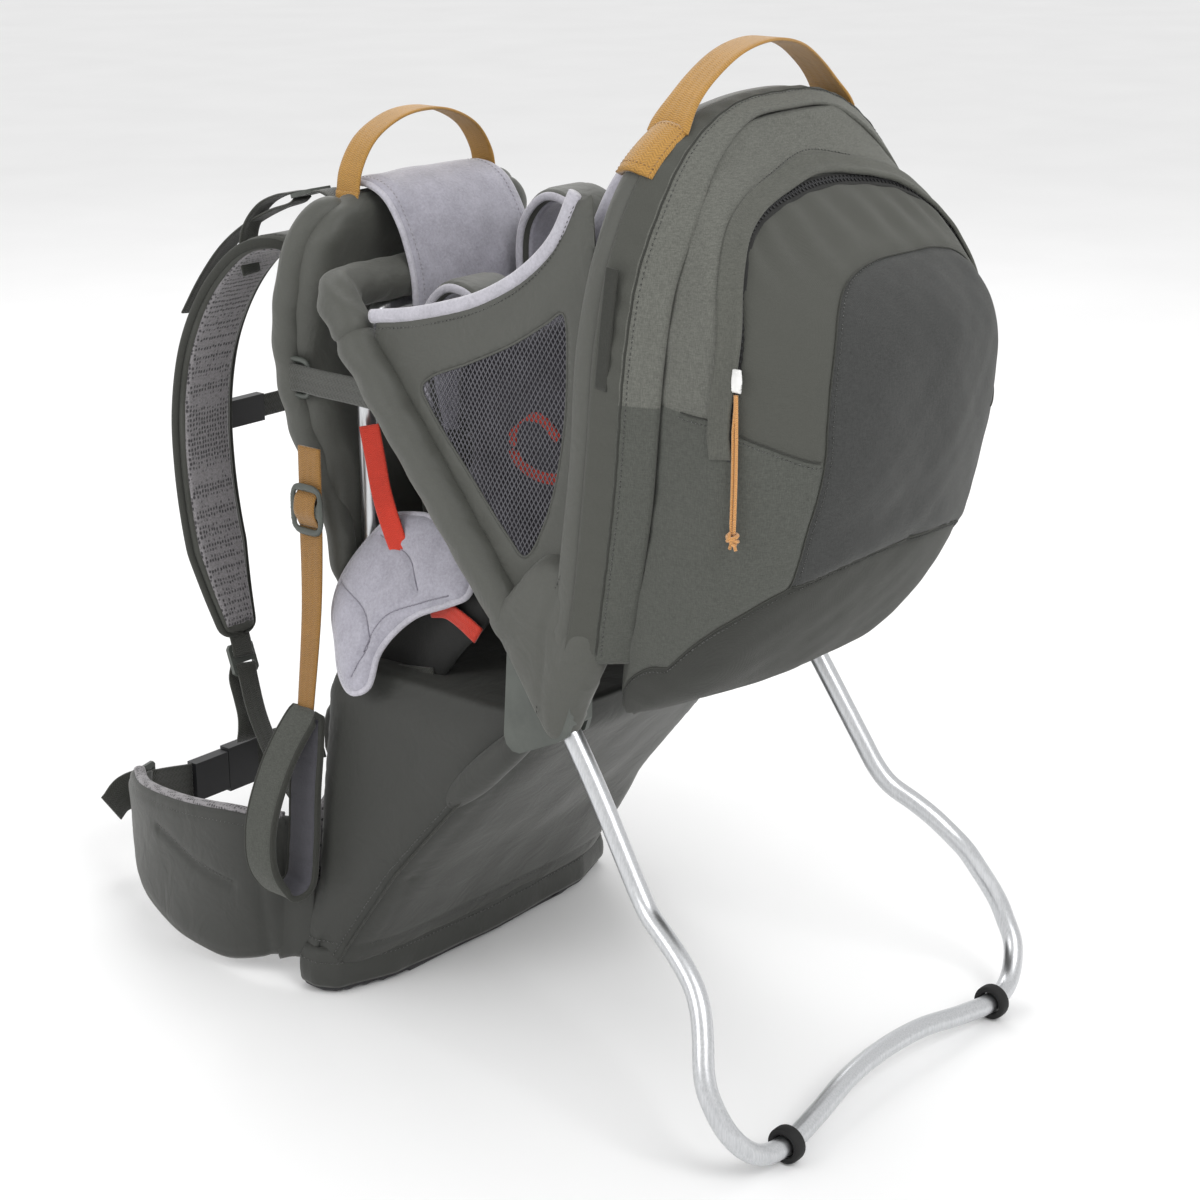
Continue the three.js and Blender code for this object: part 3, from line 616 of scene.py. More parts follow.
def pillow(name, outline, mapf, top, bot, mat, body, slot=None, rep=(), step=4.0, holes=(), bstep=None):
    """closed body over a 2-D outline; mapf(u, v, h) -> points; top/bot(d, X) heights, d = distance to the border"""
    bs = bstep or step
    loops = [resample(np.asarray(o, float), step=bs, closed=True) for o in [outline, *holes]]
    allb = np.vstack(loops)
    lo, hi = allb.min(0), allb.max(0)
    gx, gy = np.meshgrid(np.arange(lo[0] + step * 0.5, hi[0], step), np.arange(lo[1] + step * 0.5, hi[1], step * 0.87))
    gx = gx + (np.arange(gx.shape[0]) % 2)[:, None] * step * 0.5
    G = np.stack([gx.ravel(), gy.ravel()], 1)
    ok = inside(G, loops[0])
    for h in loops[1:]:
        ok &= ~inside(G, h)
    dist = np.full(len(G), 1e9)
    for lp in loops:
        dist = np.minimum(dist, seg_dist(G, np.vstack([lp, lp[:1]])))
    G = G[ok & (dist > step * 0.55)]
    pts = np.vstack([allb, G])
    edges, s = [], 0
    for lp in loops:
        edges += [(s + i, s + (i + 1) % len(lp)) for i in range(len(lp))]
        s += len(lp)
    r = delaunay_2d_cdt([Vector(p) for p in pts], edges, [], 0, 1e-6)
    vc = np.array([tuple(v) for v in r[0]])
    tri = np.array([t for t in r[2] if len(t) == 3])
    cen = vc[tri].mean(1)
    ok = inside(cen, loops[0])
    for h in loops[1:]:
        ok &= ~inside(cen, h)
    tri = tri[ok]
    used = np.unique(tri)
    re = -np.ones(len(vc), int)
    re[used] = np.arange(len(used))
    vc, tri = vc[used], re[tri]
    a, b, c = vc[tri[:, 0]], vc[tri[:, 1]], vc[tri[:, 2]]
    flip = np.cross(b - a, c - a) < 0
    tri[flip] = tri[flip][:, ::-1]
    d = np.full(len(vc), 1e9)
    for lp in loops:
        d = np.minimum(d, seg_dist(vc, np.vstack([lp, lp[:1]])))
    ht, hb = top(d, vc), bot(d, vc)
    n = len(vc)
    V = np.vstack([mapf(vc[:, 0], vc[:, 1], ht), mapf(vc[:, 0], vc[:, 1], -hb)])
    cnt = {}
    for t in tri:
        for i in range(3):
            e = (int(t[i]), int(t[(i + 1) % 3]))
            cnt[e] = 1
    F = [tuple(t) for t in tri] + [(t[2] + n, t[1] + n, t[0] + n) for t in tri]
    for (i, j) in list(cnt):
        if (j, i) not in cnt:
            F.append((j, i, i + n, j + n))
    V, F, _ = outward(V, F, None)
    UV = [tuple((vc[q % n, 0] * 1e-3, vc[q % n, 1] * 1e-3) for q in f) for f in F]
    return mk(name, V, F, mat, body, slot, rep, luv=UV)


def stitches(name, P, Nrm, body, mat=None, pitch=4.2, length=2.7, r=0.38, lift=0.1):
    """a row of short raised stitches along P, lying on the surface with normals Nrm"""
    Q = resample(P, step=pitch)
    idx = np.linspace(0, len(P) - 1, len(Q))
    Nq = unit(np.stack([np.interp(idx, np.arange(len(P)), np.broadcast_to(Nrm, P.shape)[:, k]) for k in range(3)], 1))
    T = tangents(Q)
    S = np.cross(T, Nq)
    V, F = [], []
    for q, t, n, s in zip(Q, T, Nq, S):
        b = len(V)
        c = q + n * lift
        V += [c - t * length / 2 - n * r * 0.6, c + t * length / 2 - n * r * 0.6]
        for w in (-0.28, 0.28):
            V += [c + t * length * w + s * r, c + t * length * w + n * r, c + t * length * w - s * r, c + t * length * w - n * r]
        for k in range(4):
            k2 = (k + 1) % 4
            F += [(b, b + 2 + k2, b + 2 + k), (b + 2 + k, b + 2 + k2, b + 6 + k2, b + 6 + k), (b + 1, b + 6 + k, b + 6 + k2)]
    return mk(name, V, F, mat or THREAD, body)


def mirror(P):
    Q = np.array(P, float)
    Q[..., 0] *= -1
    return Q


SIDES = (("left", -1.0), ("right", 1.0))

# ------------------------------------------------------------------ zip pull cord (declared first)
CX, CY = -156.5, -402.0
cord_pts = [(CX, CY, z) for z in np.linspace(570.4, 473.0, 24)]
sw = lambda z: 1.0 * math.sin((570.4 - z) / 97.4 * math.pi)
cord_line = np.array([(CX - 0.6 * sw(z) * 1.0, CY - 1.2 * sw(z), z) for _, _, z in cord_pts])
zip_cord = tube("zip_pull_cord_strand_a", cord_line, 1.25, CORD, "zip", "tan_cord", "zip_pull_cord", k=10)
line_b = cord_line.copy()
line_b[:, 1] += 2.7 * np.clip((570.4 - line_b[:, 2]) / 25, 0.35, 1) * np.clip((line_b[:, 2] - 468) / 10, 0.4, 1)
strand_b = tube("zip_pull_cord_strand_b", line_b, 1.25, CORD, "zip", "tan_cord", k=10)
kt = np.linspace(0, 4 * np.pi, 90, endpoint=False)
knot_line = np.stack([CX - 0.3 + 3.1 * np.cos(kt * 1.0 + 0.3) * (1 + 0.12 * np.sin(2.5 * kt)), CY + 1.0 + 3.0 * np.sin(kt) * (1 - 0.1 * np.cos(1.5 * kt)), 470.5 + 2.6 * np.cos(kt / 2)], 1)
knot = tube("zip_pull_knot", knot_line, 1.35, CORD, "zip", "tan_cord", k=10, closed=True)
knot_b = tube("zip_pull_knot_wrap", np.stack([CX - 0.3 + 2.9 * np.cos(kt[::2] / 2), CY + 1.0 + 1.8 * np.sin(kt[::2] / 2), 470 + 4.0 * np.sin(kt[::2] / 2)], 1), 1.3, CORD, "zip", "tan_cord", k=10, closed=True)
tail_a = tube("zip_pull_tail_a", path([(CX, CY, 468), (CX - 0.4, CY - 1.2, 464.5), (CX - 0.6, CY - 2.2, 462.2)], 0.8), 1.2, CORD, "zip", "tan_cord", k=10, rf=lambda t, a, P: 1.2 + 0.25 * np.sin(3 * a) * np.clip(t - 0.6, 0, 1) + 0 * a)
tail_b = tube("zip_pull_tail_b", path([(CX, CY + 2, 468), (CX + 0.2, CY + 3.0, 464.5), (CX + 0.1, CY + 3.6, 462.4)], 0.8), 1.2, CORD, "zip", "tan_cord", k=10, rf=lambda t, a, P: 1.2 + 0.25 * np.sin(3 * a) * np.clip(t - 0.6, 0, 1) + 0 * a)

# ------------------------------------------------------------------ frame
HUB, PIVOT, HX = (-240.0, 312.0), (-243.0, 300.0), 150.0
leg = [(150, -243, 300), (150, -250, 290), (152, -280, 246), (155, -306, 206), (157, -322, 182), (160, -334, 169), (165, -353, 158), (169, -369, 148),
       (174, -386, 134), (180, -397, 121), (188, -406, 103), (196, -413, 86), (200, -419, 73), (200, -427, 58), (197, -436, 43), (186, -443, 27.5),
       (170, -447.5, 17), (143, -450, 14.25), (104, -447, 18), (50, -440.5, 25.5), (0, -438, 27)]
lu = unit(np.array([0, 7.0, 10.0]))
leg = [tuple(np.array([150, -243, 300]) + lu * 9)] + leg[1:]
tube("kickstand_tube_smooth", path(mirrored(leg), 4.0), 7.95, ALU, "kickstand", "satin_aluminium", "kickstand_tube", k=28)
arm = lambda s, x=150.0: (x, HUB[0] + 0.64 * s, HUB[1] + 0.7684 * s)
arm_half = [arm(26.5), arm(120), arm(220), arm(315), (149, -29, 569), (145, -16, 581), (134, -7, 587), (118, -4, 588), (60, -4, 588), (0, -4, 588)]
tube("cockpit_arm_tube_smooth", path(mirrored(arm_half), 8), 7.9, ALU, "carrier", "satin_aluminium", "cockpit_arm_tube", k=20)
hoop_half = [(HX, HUB[0] - 6, HUB[1] + 25.9), (151, -262, 400), (151, -274, 500), (149, -281, 590), (140, -288, 650), (118, -295, 695), (80, -298, 720), (40, -298.5, 729), (0, -298.5, 731)]
tube("rear_hoop_tube_smooth", path(mirrored(hoop_half), 8), 7.9, ALU, "carrier", "satin_aluminium", "rear_hoop_tube", k=20)
strut_half = [(HX, -215, 285), (148.5, -198, 268), (144, -122, 200), (146, -58, 121), (151, -14, 60), (152, -2, 34), (148, -3, 18), (136, -8, 11.5), (100, -17, 11), (0, -22, 11)]
tube("lower_frame_tube_smooth", path(mirrored(strut_half), 8), 7.9, ALU, "carrier", "satin_aluminium", "lower_frame_tube", k=20)
stay_half = [(100, 4, 5), (100, 4, 200), (100, 3, 400), (100, 2, 530), (96, 1.5, 552), (84, 1, 564), (66, 1, 566.5), (0, 1, 566.5)]
tube("back_stay_tube_smooth", path(mirrored(stay_half), 8), 7.9, ALU, "carrier", "satin_aluminium", "back_stay_tube", k=20)

for sd, sg in SIDES:
    # rubber foot ring: rounded section turned about the cross bar
    c = np.array([143.0, -450.0, 14.3])
    ax = unit(np.array([66.0, -0.5, -1.0]))
    e1 = unit(np.cross(ax, (0, 0, 1.0)))
    e2 = np.cross(ax, e1)
    a = np.arange(48) * 2 * np.pi / 48
    ringp = c + 11.4 * (np.cos(a)[:, None] * e1 + np.sin(a)[:, None] * e2)
    ca = np.linspace(0, 2 * np.pi, 16, endpoint=False)
    se = np.stack([2.75 * np.sign(np.cos(ca)) * np.abs(np.cos(ca)) ** 0.6, 5.4 * np.sign(np.sin(ca)) * np.abs(np.sin(ca)) ** 0.5], 1)
    Nn = unit(ringp - c)
    V, F, UV = outward(*sweep(ringp, se, Nn, np.broadcast_to(ax, ringp.shape), closed=True))
    V = V.copy(); V[:, 0] *= -sg * -1.0 if sg > 0 else -1.0
    V, F, UV = outward(V, F, UV)
    mk(f"foot_ring_{sd}_rubber", V, F, RUBBER, "kickstand", "rubber_black", f"foot_ring_{sd}", luv=UV)

# ------------------------------------------------------------------ arm sleeves, crossbar sleeve, hoop sleeve
for sd, sg in SIDES:
    P = path([arm(52), arm(120), arm(200), arm(280), arm(322)], 3.0)
    P[:, 0] *= sg
    m = len(P)

    def rfa(t, a, P, sg=sg):
        # snug cover: slightly oval, narrows at both hems, soft diagonal folds near the top
        base = 17.6 + 0.9 * np.cos(2 * (a - 0.6)) + 0 * t
        end = 1 - 0.34 * np.exp(-((t) / 0.022) ** 2) - 0.18 * np.exp(-((1 - t) / 0.02) ** 2)
        fold = 0.85 * np.sin(a * 2 + t * 34 + 1.3) * np.exp(-((t - 0.92) / 0.13) ** 2) + 0.5 * np.sin(a * 3 - t * 21) * np.exp(-((t - 0.1) / 0.12) ** 2)
        seam = 0.9 * np.exp(-((np.angle(np.exp(1j * (a - 2.2)))) / 0.06) ** 2)
        return (base + fold - seam + 0.35 * np.sin(t * 47 + 3 * a)) * end
    tube(f"arm_sleeve_{sd}_cover", P, 18, SATIN, "carrier", "satin_cloth", f"arm_sleeve_{sd}", k=40, rf=rfa)
    T, N, B = rmf(P, (1, 0, 0))
cross_half = [arm(316), (149.5, -31, 566.5), (146, -17, 580), (135, -7, 587), (118, -4, 588), (80, -4, 588), (40, -4, 588), (0, -4, 588)]
Pc = path(mirrored(cross_half), 3.0)


def rfc(t, a, P):
    e = 1 - 0.30 * np.exp(-(t / 0.012) ** 2) - 0.30 * np.exp(-((1 - t) / 0.012) ** 2)
    bend = np.exp(-((t - 0.10) / 0.05) ** 2) + np.exp(-((t - 0.90) / 0.05) ** 2)
    return (16.6 + 0.5 * np.cos(2 * a) + 1.0 * bend * np.sin(5 * a + t * 60) + 0.35 * np.sin(t * 90 + 2 * a)) * e


tube("crossbar_sleeve", Pc, 16, SATIN, "carrier", "satin_cloth", k=36, rf=rfc)

hp = path(mirrored([(150.5, -251, 350), (151, -262, 400), (151, -274, 500), (149, -281, 590), (140, -288, 650), (118, -295, 695), (80, -298, 720), (40, -298.5, 729), (0, -298.5, 731)]), 2.6)
Lh = np.concatenate([[0], np.cumsum(np.linalg.norm(np.diff(hp, axis=0), axis=1))])


def rfh(t, a, P):
    # gathered puckers on the side that is sewn to the pack
    L = Lh[-1]
    s = t * L
    side = np.clip(np.cos(a - 3.3), 0, 1) ** 2
    puck = side * (1.5 * np.sin(s / 9.5 + 1.2 * np.sin(s / 41)) + 0.8 * np.sin(s / 5.3 + 2 * a))
    top = np.exp(-((t - 0.5) / 0.16) ** 2)
    e = 1 - 0.35 * np.exp(-(t / 0.008) ** 2) - 0.35 * np.exp(-((1 - t) / 0.008) ** 2)
    return (18.1 + 0.7 * np.cos(2 * a) + puck * (1 - 0.6 * top) + 0.5 * np.sin(s / 23 + a)) * e


tube("hoop_sleeve_cover", hp, 18, SATIN, "carrier", "satin_cloth", "hoop_sleeve", k=44, rf=rfh, n0=(1, 0, 0))

# ------------------------------------------------------------------ cargo pack
LV = np.array([[296, 108, -264, -278], [310, 124, -266, -322], [335, 138, -272, -370], [370, 147, -280, -404], [420, 154, -288, -434], [480, 156, -296, -451],
               [540, 157, -302, -458], [590, 155, -305, -453], [635, 145, -310, -420], [675, 126, -316, -378], [705, 100, -320, -348], [725, 74, -321, -337], [735, 52, -322, -334]], float)
_d = cr(LV, sub=12)


def pack_pt(al, z):
    """al -1..1 sweeps left flank - rear - right flank (beyond that the face towards the frame)"""
    a, f, b = (np.interp(z, _d[:, 0], _d[:, k]) for k in (1, 2, 3))
    t = 1.5 * np.pi + al * np.pi / 2
    c, d = (f + b) / 2, (f - b) / 2
    cx, cy = np.cos(t), np.sin(t)
    e = np.where(cy > 0, 0.4, 2 / 2.15)
    return np.stack([a * np.sign(cx) * np.abs(cx) ** e, c + d * np.sign(cy) * np.abs(cy) ** e, np.broadcast_to(z, np.shape(cx))], -1)


welt_az = [(-0.86, 500), (-0.87, 524), (-0.895, 545), (-0.87, 579), (-0.81, 611), (-0.735, 642), (-0.62, 664), (-0.465, 678), (-0.23, 687), (0.0, 690.5)]
welt_az = welt_az + [(-a, z) for a, z in welt_az[::-1][1:]]
cen_az = [(-0.485, 425), (-0.47, 470), (-0.445, 514), (-0.445, 549), (-0.425, 583), (-0.35, 611), (-0.24, 631), (-0.08, 641), (0.12, 642), (0.36, 638), (0.55, 625), (0.64, 600), (0.66, 560), (0.66, 500), (0.62, 425)]
low_az = [(-1.41, 556), (-1.04, 551), (-0.885, 544), (-0.685, 533), (-0.505, 521), (-0.46, 519)]
bot_az = [(-1.30, 321), (-1.055, 348), (-0.845, 386), (-0.60, 415), (-0.485, 425), (-0.2, 440), (0.2, 440), (0.485, 425), (0.6, 415), (0.845, 386), (1.055, 348), (1.30, 321)]


def curve_az(pts, step=3.0):
    """a smooth curve drawn on the pack, as (al, z) and as points"""
    q = cr([(a * 230, z) for a, z in pts], sub=14)
    q = resample(q, step=step)
    az = np.stack([q[:, 0] / 230, q[:, 1]], 1)
    return az, pack_pt(az[:, 0], az[:, 1])


def pack_nrm(al, z):
    e1, e2 = 0.012, 1.5
    du = pack_pt(al + e1, z) - pack_pt(al - e1, z)
    dv = pack_pt(al, np.clip(z + e2, 296, 735)) - pack_pt(al, np.clip(z - e2, 296, 735))
    n = unit(np.cross(du, dv))
    c = np.array([0, -300.0, 0]) * np.array([1, 1, 0]) + np.stack([np.zeros(np.shape(z)), np.zeros(np.shape(z)), np.asarray(z, float)], -1)
    s = np.sign(((pack_pt(al, z) - c) * n).sum(-1, keepdims=True))
    return n * np.where(s == 0, 1, s)


NA, NZ = 300, 190
al = np.linspace(-2, 2, NA, endpoint=False)
zz = np.linspace(296, 735, NZ)
AL, ZZ = np.meshgrid(al, zz)
PK = pack_pt(AL, ZZ)
PN = pack_nrm(AL, ZZ)
X2 = np.stack([AL * 230, ZZ], -1)
crv = {k: [(a * 230, z) for a, z in cr(v, sub=8)] if False else cr([(a * 230, z) for a, z in v], sub=8) for k, v in (("welt", welt_az), ("cen", cen_az), ("low", low_az), ("bot", bot_az))}
dist = {k: seg_dist(X2, v) for k, v in crv.items()}
welt_poly = np.vstack([crv["welt"], [(200, 300), (-200, 300)]])
in_welt = inside(X2, np.vstack([crv["welt"], [(crv["welt"][-1][0], 470), (crv["welt"][0][0], 470)]]))
in_cen = inside(X2, np.vstack([crv["cen"], [(crv["cen"][-1][0], 300), (crv["cen"][0][0], 300)]]))
low_z = np.interp(X2[..., 0], crv["low"][:, 0], crv["low"][:, 1])
low_z = np.where(X2[..., 0] > 0, np.interp(-X2[..., 0], crv["low"][:, 0], crv["low"][:, 1]), low_z)
bot_z = np.interp(X2[..., 0], crv["bot"][:, 0], crv["bot"][:, 1], left=300, right=300)
satin_in = in_welt & ~in_cen & (ZZ > low_z)
below = ZZ < bot_z
side_cen = np.where(in_cen & ~below, 1.0, -1.0)
sd_cen = side_cen * np.minimum(dist["cen"], np.where(AL < 0.5, dist["bot"] * 0 + 1e3, 1e3))
sd_sat = np.where(satin_in, 1.0, -1.0) * np.minimum(np.minimum(dist["welt"], dist["cen"]), np.abs(ZZ - low_z))
sd_up = np.where((ZZ > low_z) & ~in_cen, 1.0, -1.0) * np.minimum(np.abs(ZZ - low_z), np.where(ZZ > low_z, dist["cen"], 1e3))
sd_bot = np.where(below, 1.0, -1.0) * dist["bot"]
front = np.abs(AL) > 1
# relief: seams pull in, cloth is full between them
h = -groove(dist["welt"], 1.6, 4.5) - groove(dist["cen"], 1.5, 4.0) - groove(dist["bot"], 1.4, 4.0) - groove(seg_dist(X2, crv["low"]), 1.0, 3.5)
h += 3.2 * np.where(in_cen & ~below, 1 - np.exp(-dist["cen"] / 14), 0)
# pleats fanning down from the top of the arch
fan = np.sin(AL * 36 + 0.012 * (ZZ - 690) * 3) * np.exp(-((ZZ - 668) / 26) ** 2) * satin_in * (1 - np.exp(-dist["welt"] / 7)) * (1 - np.exp(-dist["cen"] / 9))
h += 1.5 * fan
tight = (1 - np.exp(-np.minimum(dist["cen"], dist["welt"]) / 12))
h += 1.1 * wob(PK, 95, 3, aniso=(1, 1, 0.6)) * tight + 0.35 * wob(PK, 34, 5)
# puckers where the flank is gathered to the hoop sleeve, and drag lines low on the centre panel
edge_l = np.clip((np.abs(AL) - 1.05) / 0.3, 0, 1)
h += 1.0 * edge_l * np.sin(ZZ / 6.2 + 2 * np.sin(ZZ / 37)) * (~front | (np.abs(AL) < 1.35))
h += 1.4 * np.sin((ZZ - 0.35 * X2[..., 0]) / 9.0) * np.exp(-((ZZ - 452) / 26) ** 2) * np.exp(-((X2[..., 0] + 40) / 70) ** 2)
h -= 2.0 * np.exp(-((ZZ - 470) / 20) ** 2) * in_cen * np.exp(-((X2[..., 0]) / 90) ** 2)
h = np.where(front & (np.abs(AL) > 1.35), 0, h)
PK2 = PK + PN * h[..., None]
V = PK2.reshape(-1, 3)
F, UV = [], []
for i in range(NZ - 1):
    for j in range(NA):
        q = (j + 1) % NA
        F.append((i * NA + j, i * NA + q, (i + 1) * NA + q, (i + 1) * NA + j))
for r in (0, NZ - 1):
    c = len(V)
    V = np.vstack([V, V[r * NA:(r + 1) * NA].mean(0)[None] + np.array([[0, 0, -2.0 if r == 0 else 2.5]])])
    for j in range(NA):
        q = (j + 1) % NA
        F.append((c, r * NA + q, r * NA + j) if r == 0 else (c, r * NA + j, r * NA + q))
V, F, _ = outward(V, F)
pad2 = lambda A, v: np.concatenate([A.ravel(), [v, v]])
PACKCLOTH = cloth("pack_cloth", (97, 99, 93), heather=0.26, rough=0.84, sheen=0.25, crumple=0.12, weave=0.45,
                  regions=[("r_up", (121, 122, 115), 0.3, 0.5), ("r_satin", (93, 94, 88), 0.05, 0.5), ("r_cen", (74, 75, 74), 0.28, 0.5), ("r_bot", (68, 69, 65), 0.06, 0.5)])
pack = mk("cargo_pack_shell", V, F, PACKCLOTH, "carrier", "heather_cloth", "cargo_pack",
          attrs={"r_up": pad2(sd_up, -5), "r_satin": pad2(sd_sat, -5), "r_cen": pad2(sd_cen, -5), "r_bot": pad2(sd_bot, 5)})


def on_pack(pts, off=0.0, step=3.0):
    """curve on the finished pack surface, with normals"""
    az, _ = curve_az(pts, step)
    fi = (az[:, 1] - 296) / (735 - 296) * (NZ - 1)
    fj = ((az[:, 0] + 2) / 4 * NA)
    i0 = np.clip(np.floor(fi).astype(int), 0, NZ - 2)
    j0 = np.floor(fj).astype(int)
    di, dj = (fi - i0)[:, None], (fj - j0)[:, None]
    g = lambda A: (A[i0, j0 % NA] * (1 - di) * (1 - dj) + A[i0 + 1, j0 % NA] * di * (1 - dj) + A[i0, (j0 + 1) % NA] * (1 - di) * dj + A[i0 + 1, (j0 + 1) % NA] * di * dj)
    n = unit(g(PN))
    return g(PK2) + n * off, n


def along_surface(name, P, n, w, t, mat, body, slot=None, mid=5):
    """flat strip lying on a surface: width across the curve, thickness along the surface normal"""
    T = tangents(P)
    S = unit(np.cross(T, n))
    B = np.cross(T, S)
    V, F, UV = outward(*sweep(P, flat(w, t, mid=mid), S, B))
    return mk(name, V, F, mat, body, slot, luv=UV)


# zip: chain under a folded welt that follows the arch
zp, zn = on_pack(welt_az[1:-1], 0.6, 2.0)
along_surface("zip_tape", zp, zn, 11, 1.2, DARK_CL, "carrier")
cV, cF = [], []
Q = resample(zp, step=2.2)
idx = np.linspace(0, len(zp) - 1, len(Q))
Nq = unit(np.stack([np.interp(idx, np.arange(len(zp)), zn[:, k]) for k in range(3)], 1))
Tq = tangents(Q); Sq = unit(np.cross(Tq, Nq))
for k, (q, t, n_, s) in enumerate(zip(Q, Tq, Nq, Sq)):
    sgn = 1 if k % 2 else -1
    c = q + n_ * 1.0 + s * sgn * 0.9
    b = len(cV)
    for dx in (-0.8, 0.8):
        for dy in (-1.7, 1.7):
            for dz in (-0.5, 0.6):
                cV.append(c + t * dx + s * dy + n_ * dz)
    cF += [(b, b + 1, b + 3, b + 2), (b + 4, b + 6, b + 7, b + 5), (b, b + 4, b + 5, b + 1), (b + 2, b + 3, b + 7, b + 6), (b, b + 2, b + 6, b + 4), (b + 1, b + 5, b + 7, b + 3)]
mk("zip_teeth", cV, cF, BLACK, "carrier", smooth=False)
# welt: a rolled hem lying outside the zip, open towards it
outer = [(a * 1.0 + (-0.052 if a < -0.5 else 0.052 if a > 0.5 else 0.104 * a), z + 10 * max(0.0, 1 - abs(a) / 0.85)) for a, z in welt_az[1:-1]]
wp, wn = on_pack(outer, 1.6, 2.2)
Tw = tangents(wp); Sw = unit(np.cross(Tw, wn)); Bw = np.cross(Tw, Sw)
wsec = []
for i in range(len(wp)):
    t = i / (len(wp) - 1)
    en = min(1.0, 12 * t, 12 * (1 - t)) ** 0.5
    x = np.linspace(-8.5, 8.5, 11)
    hh = (0.7 + 1.9 * np.exp(-((x * (1 if True else -1) - 6.0) / 3.2) ** 2)) * en
    topc = np.stack([x, hh], 1)
    botc = np.stack([x[::-1], np.full(11, -0.6)], 1)
    wsec.append(np.vstack([topc, botc]))
wsec = np.array(wsec)
mid_i = len(wp) // 4
inner_dir = np.sign(((zp[len(zp) // 4] - wp[mid_i]) * Sw[mid_i]).sum())
out_dir = np.sign((Bw[mid_i] * wn[mid_i]).sum())
wsec[..., 0] *= inner_dir
wsec[..., 1] *= out_dir
V, F, UV = outward(*sweep(wp, wsec, Sw, Bw))
mk("zip_welt", V, F, cloth("welt_cloth", (106, 107, 100), heather=0.26, rough=0.85, crumple=0.1, weave=0.45), "carrier", "heather_cloth", luv=UV)
so = [(a * 1.0 + (-0.105 if a < -0.5 else 0.105 if a > 0.5 else 0.21 * a), z + 20 * max(0.0, 1 - abs(a) / 0.85)) for a, z in welt_az[1:-1]]
sp_, sn_ = on_pack(so, 0.2, 2.2)
stitches("stitch_welt", sp_, sn_, "carrier", pitch=3.6, length=2.4)
for nm, pts, off in (("cen", cen_az, 0.5), ("low", low_az, 0.3), ("bot", bot_az[:-1], 0.3)):
    if nm == "low":
        pts = [(a, z) for a, z in low_az[1:]]
    p_, n_ = on_pack(pts, off, 2.2)
    along_surface(f"seam_{nm}", p_, n_, 1.5, 1.3, BINDING, "carrier")
    q_, m_ = on_pack([(a + (0.02 if nm == "cen" and a < 0 else 0), z - (4 if nm != "cen" else 0)) for a, z in pts], 0.1, 2.2)
    stitches(f"stitch_{nm}", q_, m_, "carrier", pitch=3.6, length=2.4)
p_, n_ = on_pack([(-a, z) for a, z in low_az[1:]], 0.3, 2.2)
along_surface("seam_low_right", p_, n_, 1.5, 1.3, BINDING, "carrier")

# slider keeps its place on the CAD's travel
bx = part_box("zip_slider")
sx, sy, sz = -156.5, -402.0, 580.0
sl = pillow("zip_slider_body", [(-3.6, -8), (-4.2, 0), (-3.2, 8), (3.2, 8), (4.2, 0), (3.6, -8)], lambda u, v, h: np.stack([sx - h, sy + u, sz + v], -1),
            lambda d, X: crown(d, 2.4, 2.5, 0.6), lambda d, X: crown(d, 2.2, 2.0, 0.6), SILVER, "zip", "bright_metal", "zip_slider", step=1.2)

# ------------------------------------------------------------------ padding by cloth simulation, held at the sewn lines
SEAM_LIL = cordmat("quilting_thread", (138, 135, 146))


def swell(ob, dseam, cap=5.0, frames=12, pressure=4.0, pin=2.2):
    """cloth simulation: the cover is blown up between its sewn lines, which are held; movement is capped"""
    me_ = ob.data
    n_ = len(me_.vertices)
    co = np.empty(n_ * 3, np.float32)
    me_.vertices.foreach_get("co", co)
    co = co.reshape(-1, 3).astype(float)
    W_ = co * 1000
    W_[:, 1] -= YS
    hold = np.asarray(dseam(W_)) < pin
    vg = ob.vertex_groups.new(name="sewn")
    vg.add([int(i_) for i_ in np.nonzero(hold)[0]], 1.0, "REPLACE")
    md = ob.modifiers.new("swell", "CLOTH")
    st_ = md.settings
    st_.quality = 4
    st_.mass = 0.25
    st_.tension_stiffness = st_.compression_stiffness = 12
    st_.shear_stiffness = 8
    st_.bending_stiffness = 0.4
    st_.use_pressure = True
    st_.uniform_pressure_force = pressure
    st_.vertex_group_mass = "sewn"
    st_.effector_weights.gravity = 0
    md.collision_settings.use_collision = False
    md.point_cache.frame_start, md.point_cache.frame_end = 1, frames
    for f_ in range(1, frames + 1):
        sc.frame_set(f_)
    dg = bpy.context.evaluated_depsgraph_get()
    ev = ob.evaluated_get(dg).to_mesh()
    out = np.empty(n_ * 3, np.float32)
    ev.vertices.foreach_get("co", out)
    out = out.reshape(-1, 3).astype(float)
    ob.evaluated_get(dg).to_mesh_clear()
    ob.modifiers.remove(md)
    ob.vertex_groups.remove(vg)
    sc.frame_set(1)
    mv = out - co
    L_ = np.linalg.norm(mv, axis=1, keepdims=True)
    mv = mv * np.minimum(1.0, cap / 1000 / np.maximum(L_, 1e-9))
    if not np.isfinite(mv).all():
        return
    me_.vertices.foreach_set("co", (co + mv).astype(np.float32).ravel())
    me_.update()


def drape_row(name, P, ob, nrm, mat, body, r=0.6):
    """a thin sewn line lying on ob's surface along P"""
    from mathutils.bvhtree import BVHTree
    bv = BVHTree.FromPolygons([v.co.copy() for v in ob.data.vertices], [list(f.vertices) for f in ob.data.polygons])
    out = []
    for q in P:
        c_ = Vector((q[0] / 1000, (q[1] + YS) / 1000, q[2] / 1000)) + Vector(nrm) * 0.03
        hit = bv.ray_cast(c_, -Vector(nrm), 0.06)
        if hit[0] is not None:
            out.append((hit[0].x * 1000, hit[0].y * 1000 - YS, hit[0].z * 1000))
    if len(out) > 3:
        tube(name, np.array(out), r, mat, body, k=8, n0=tuple(nrm))


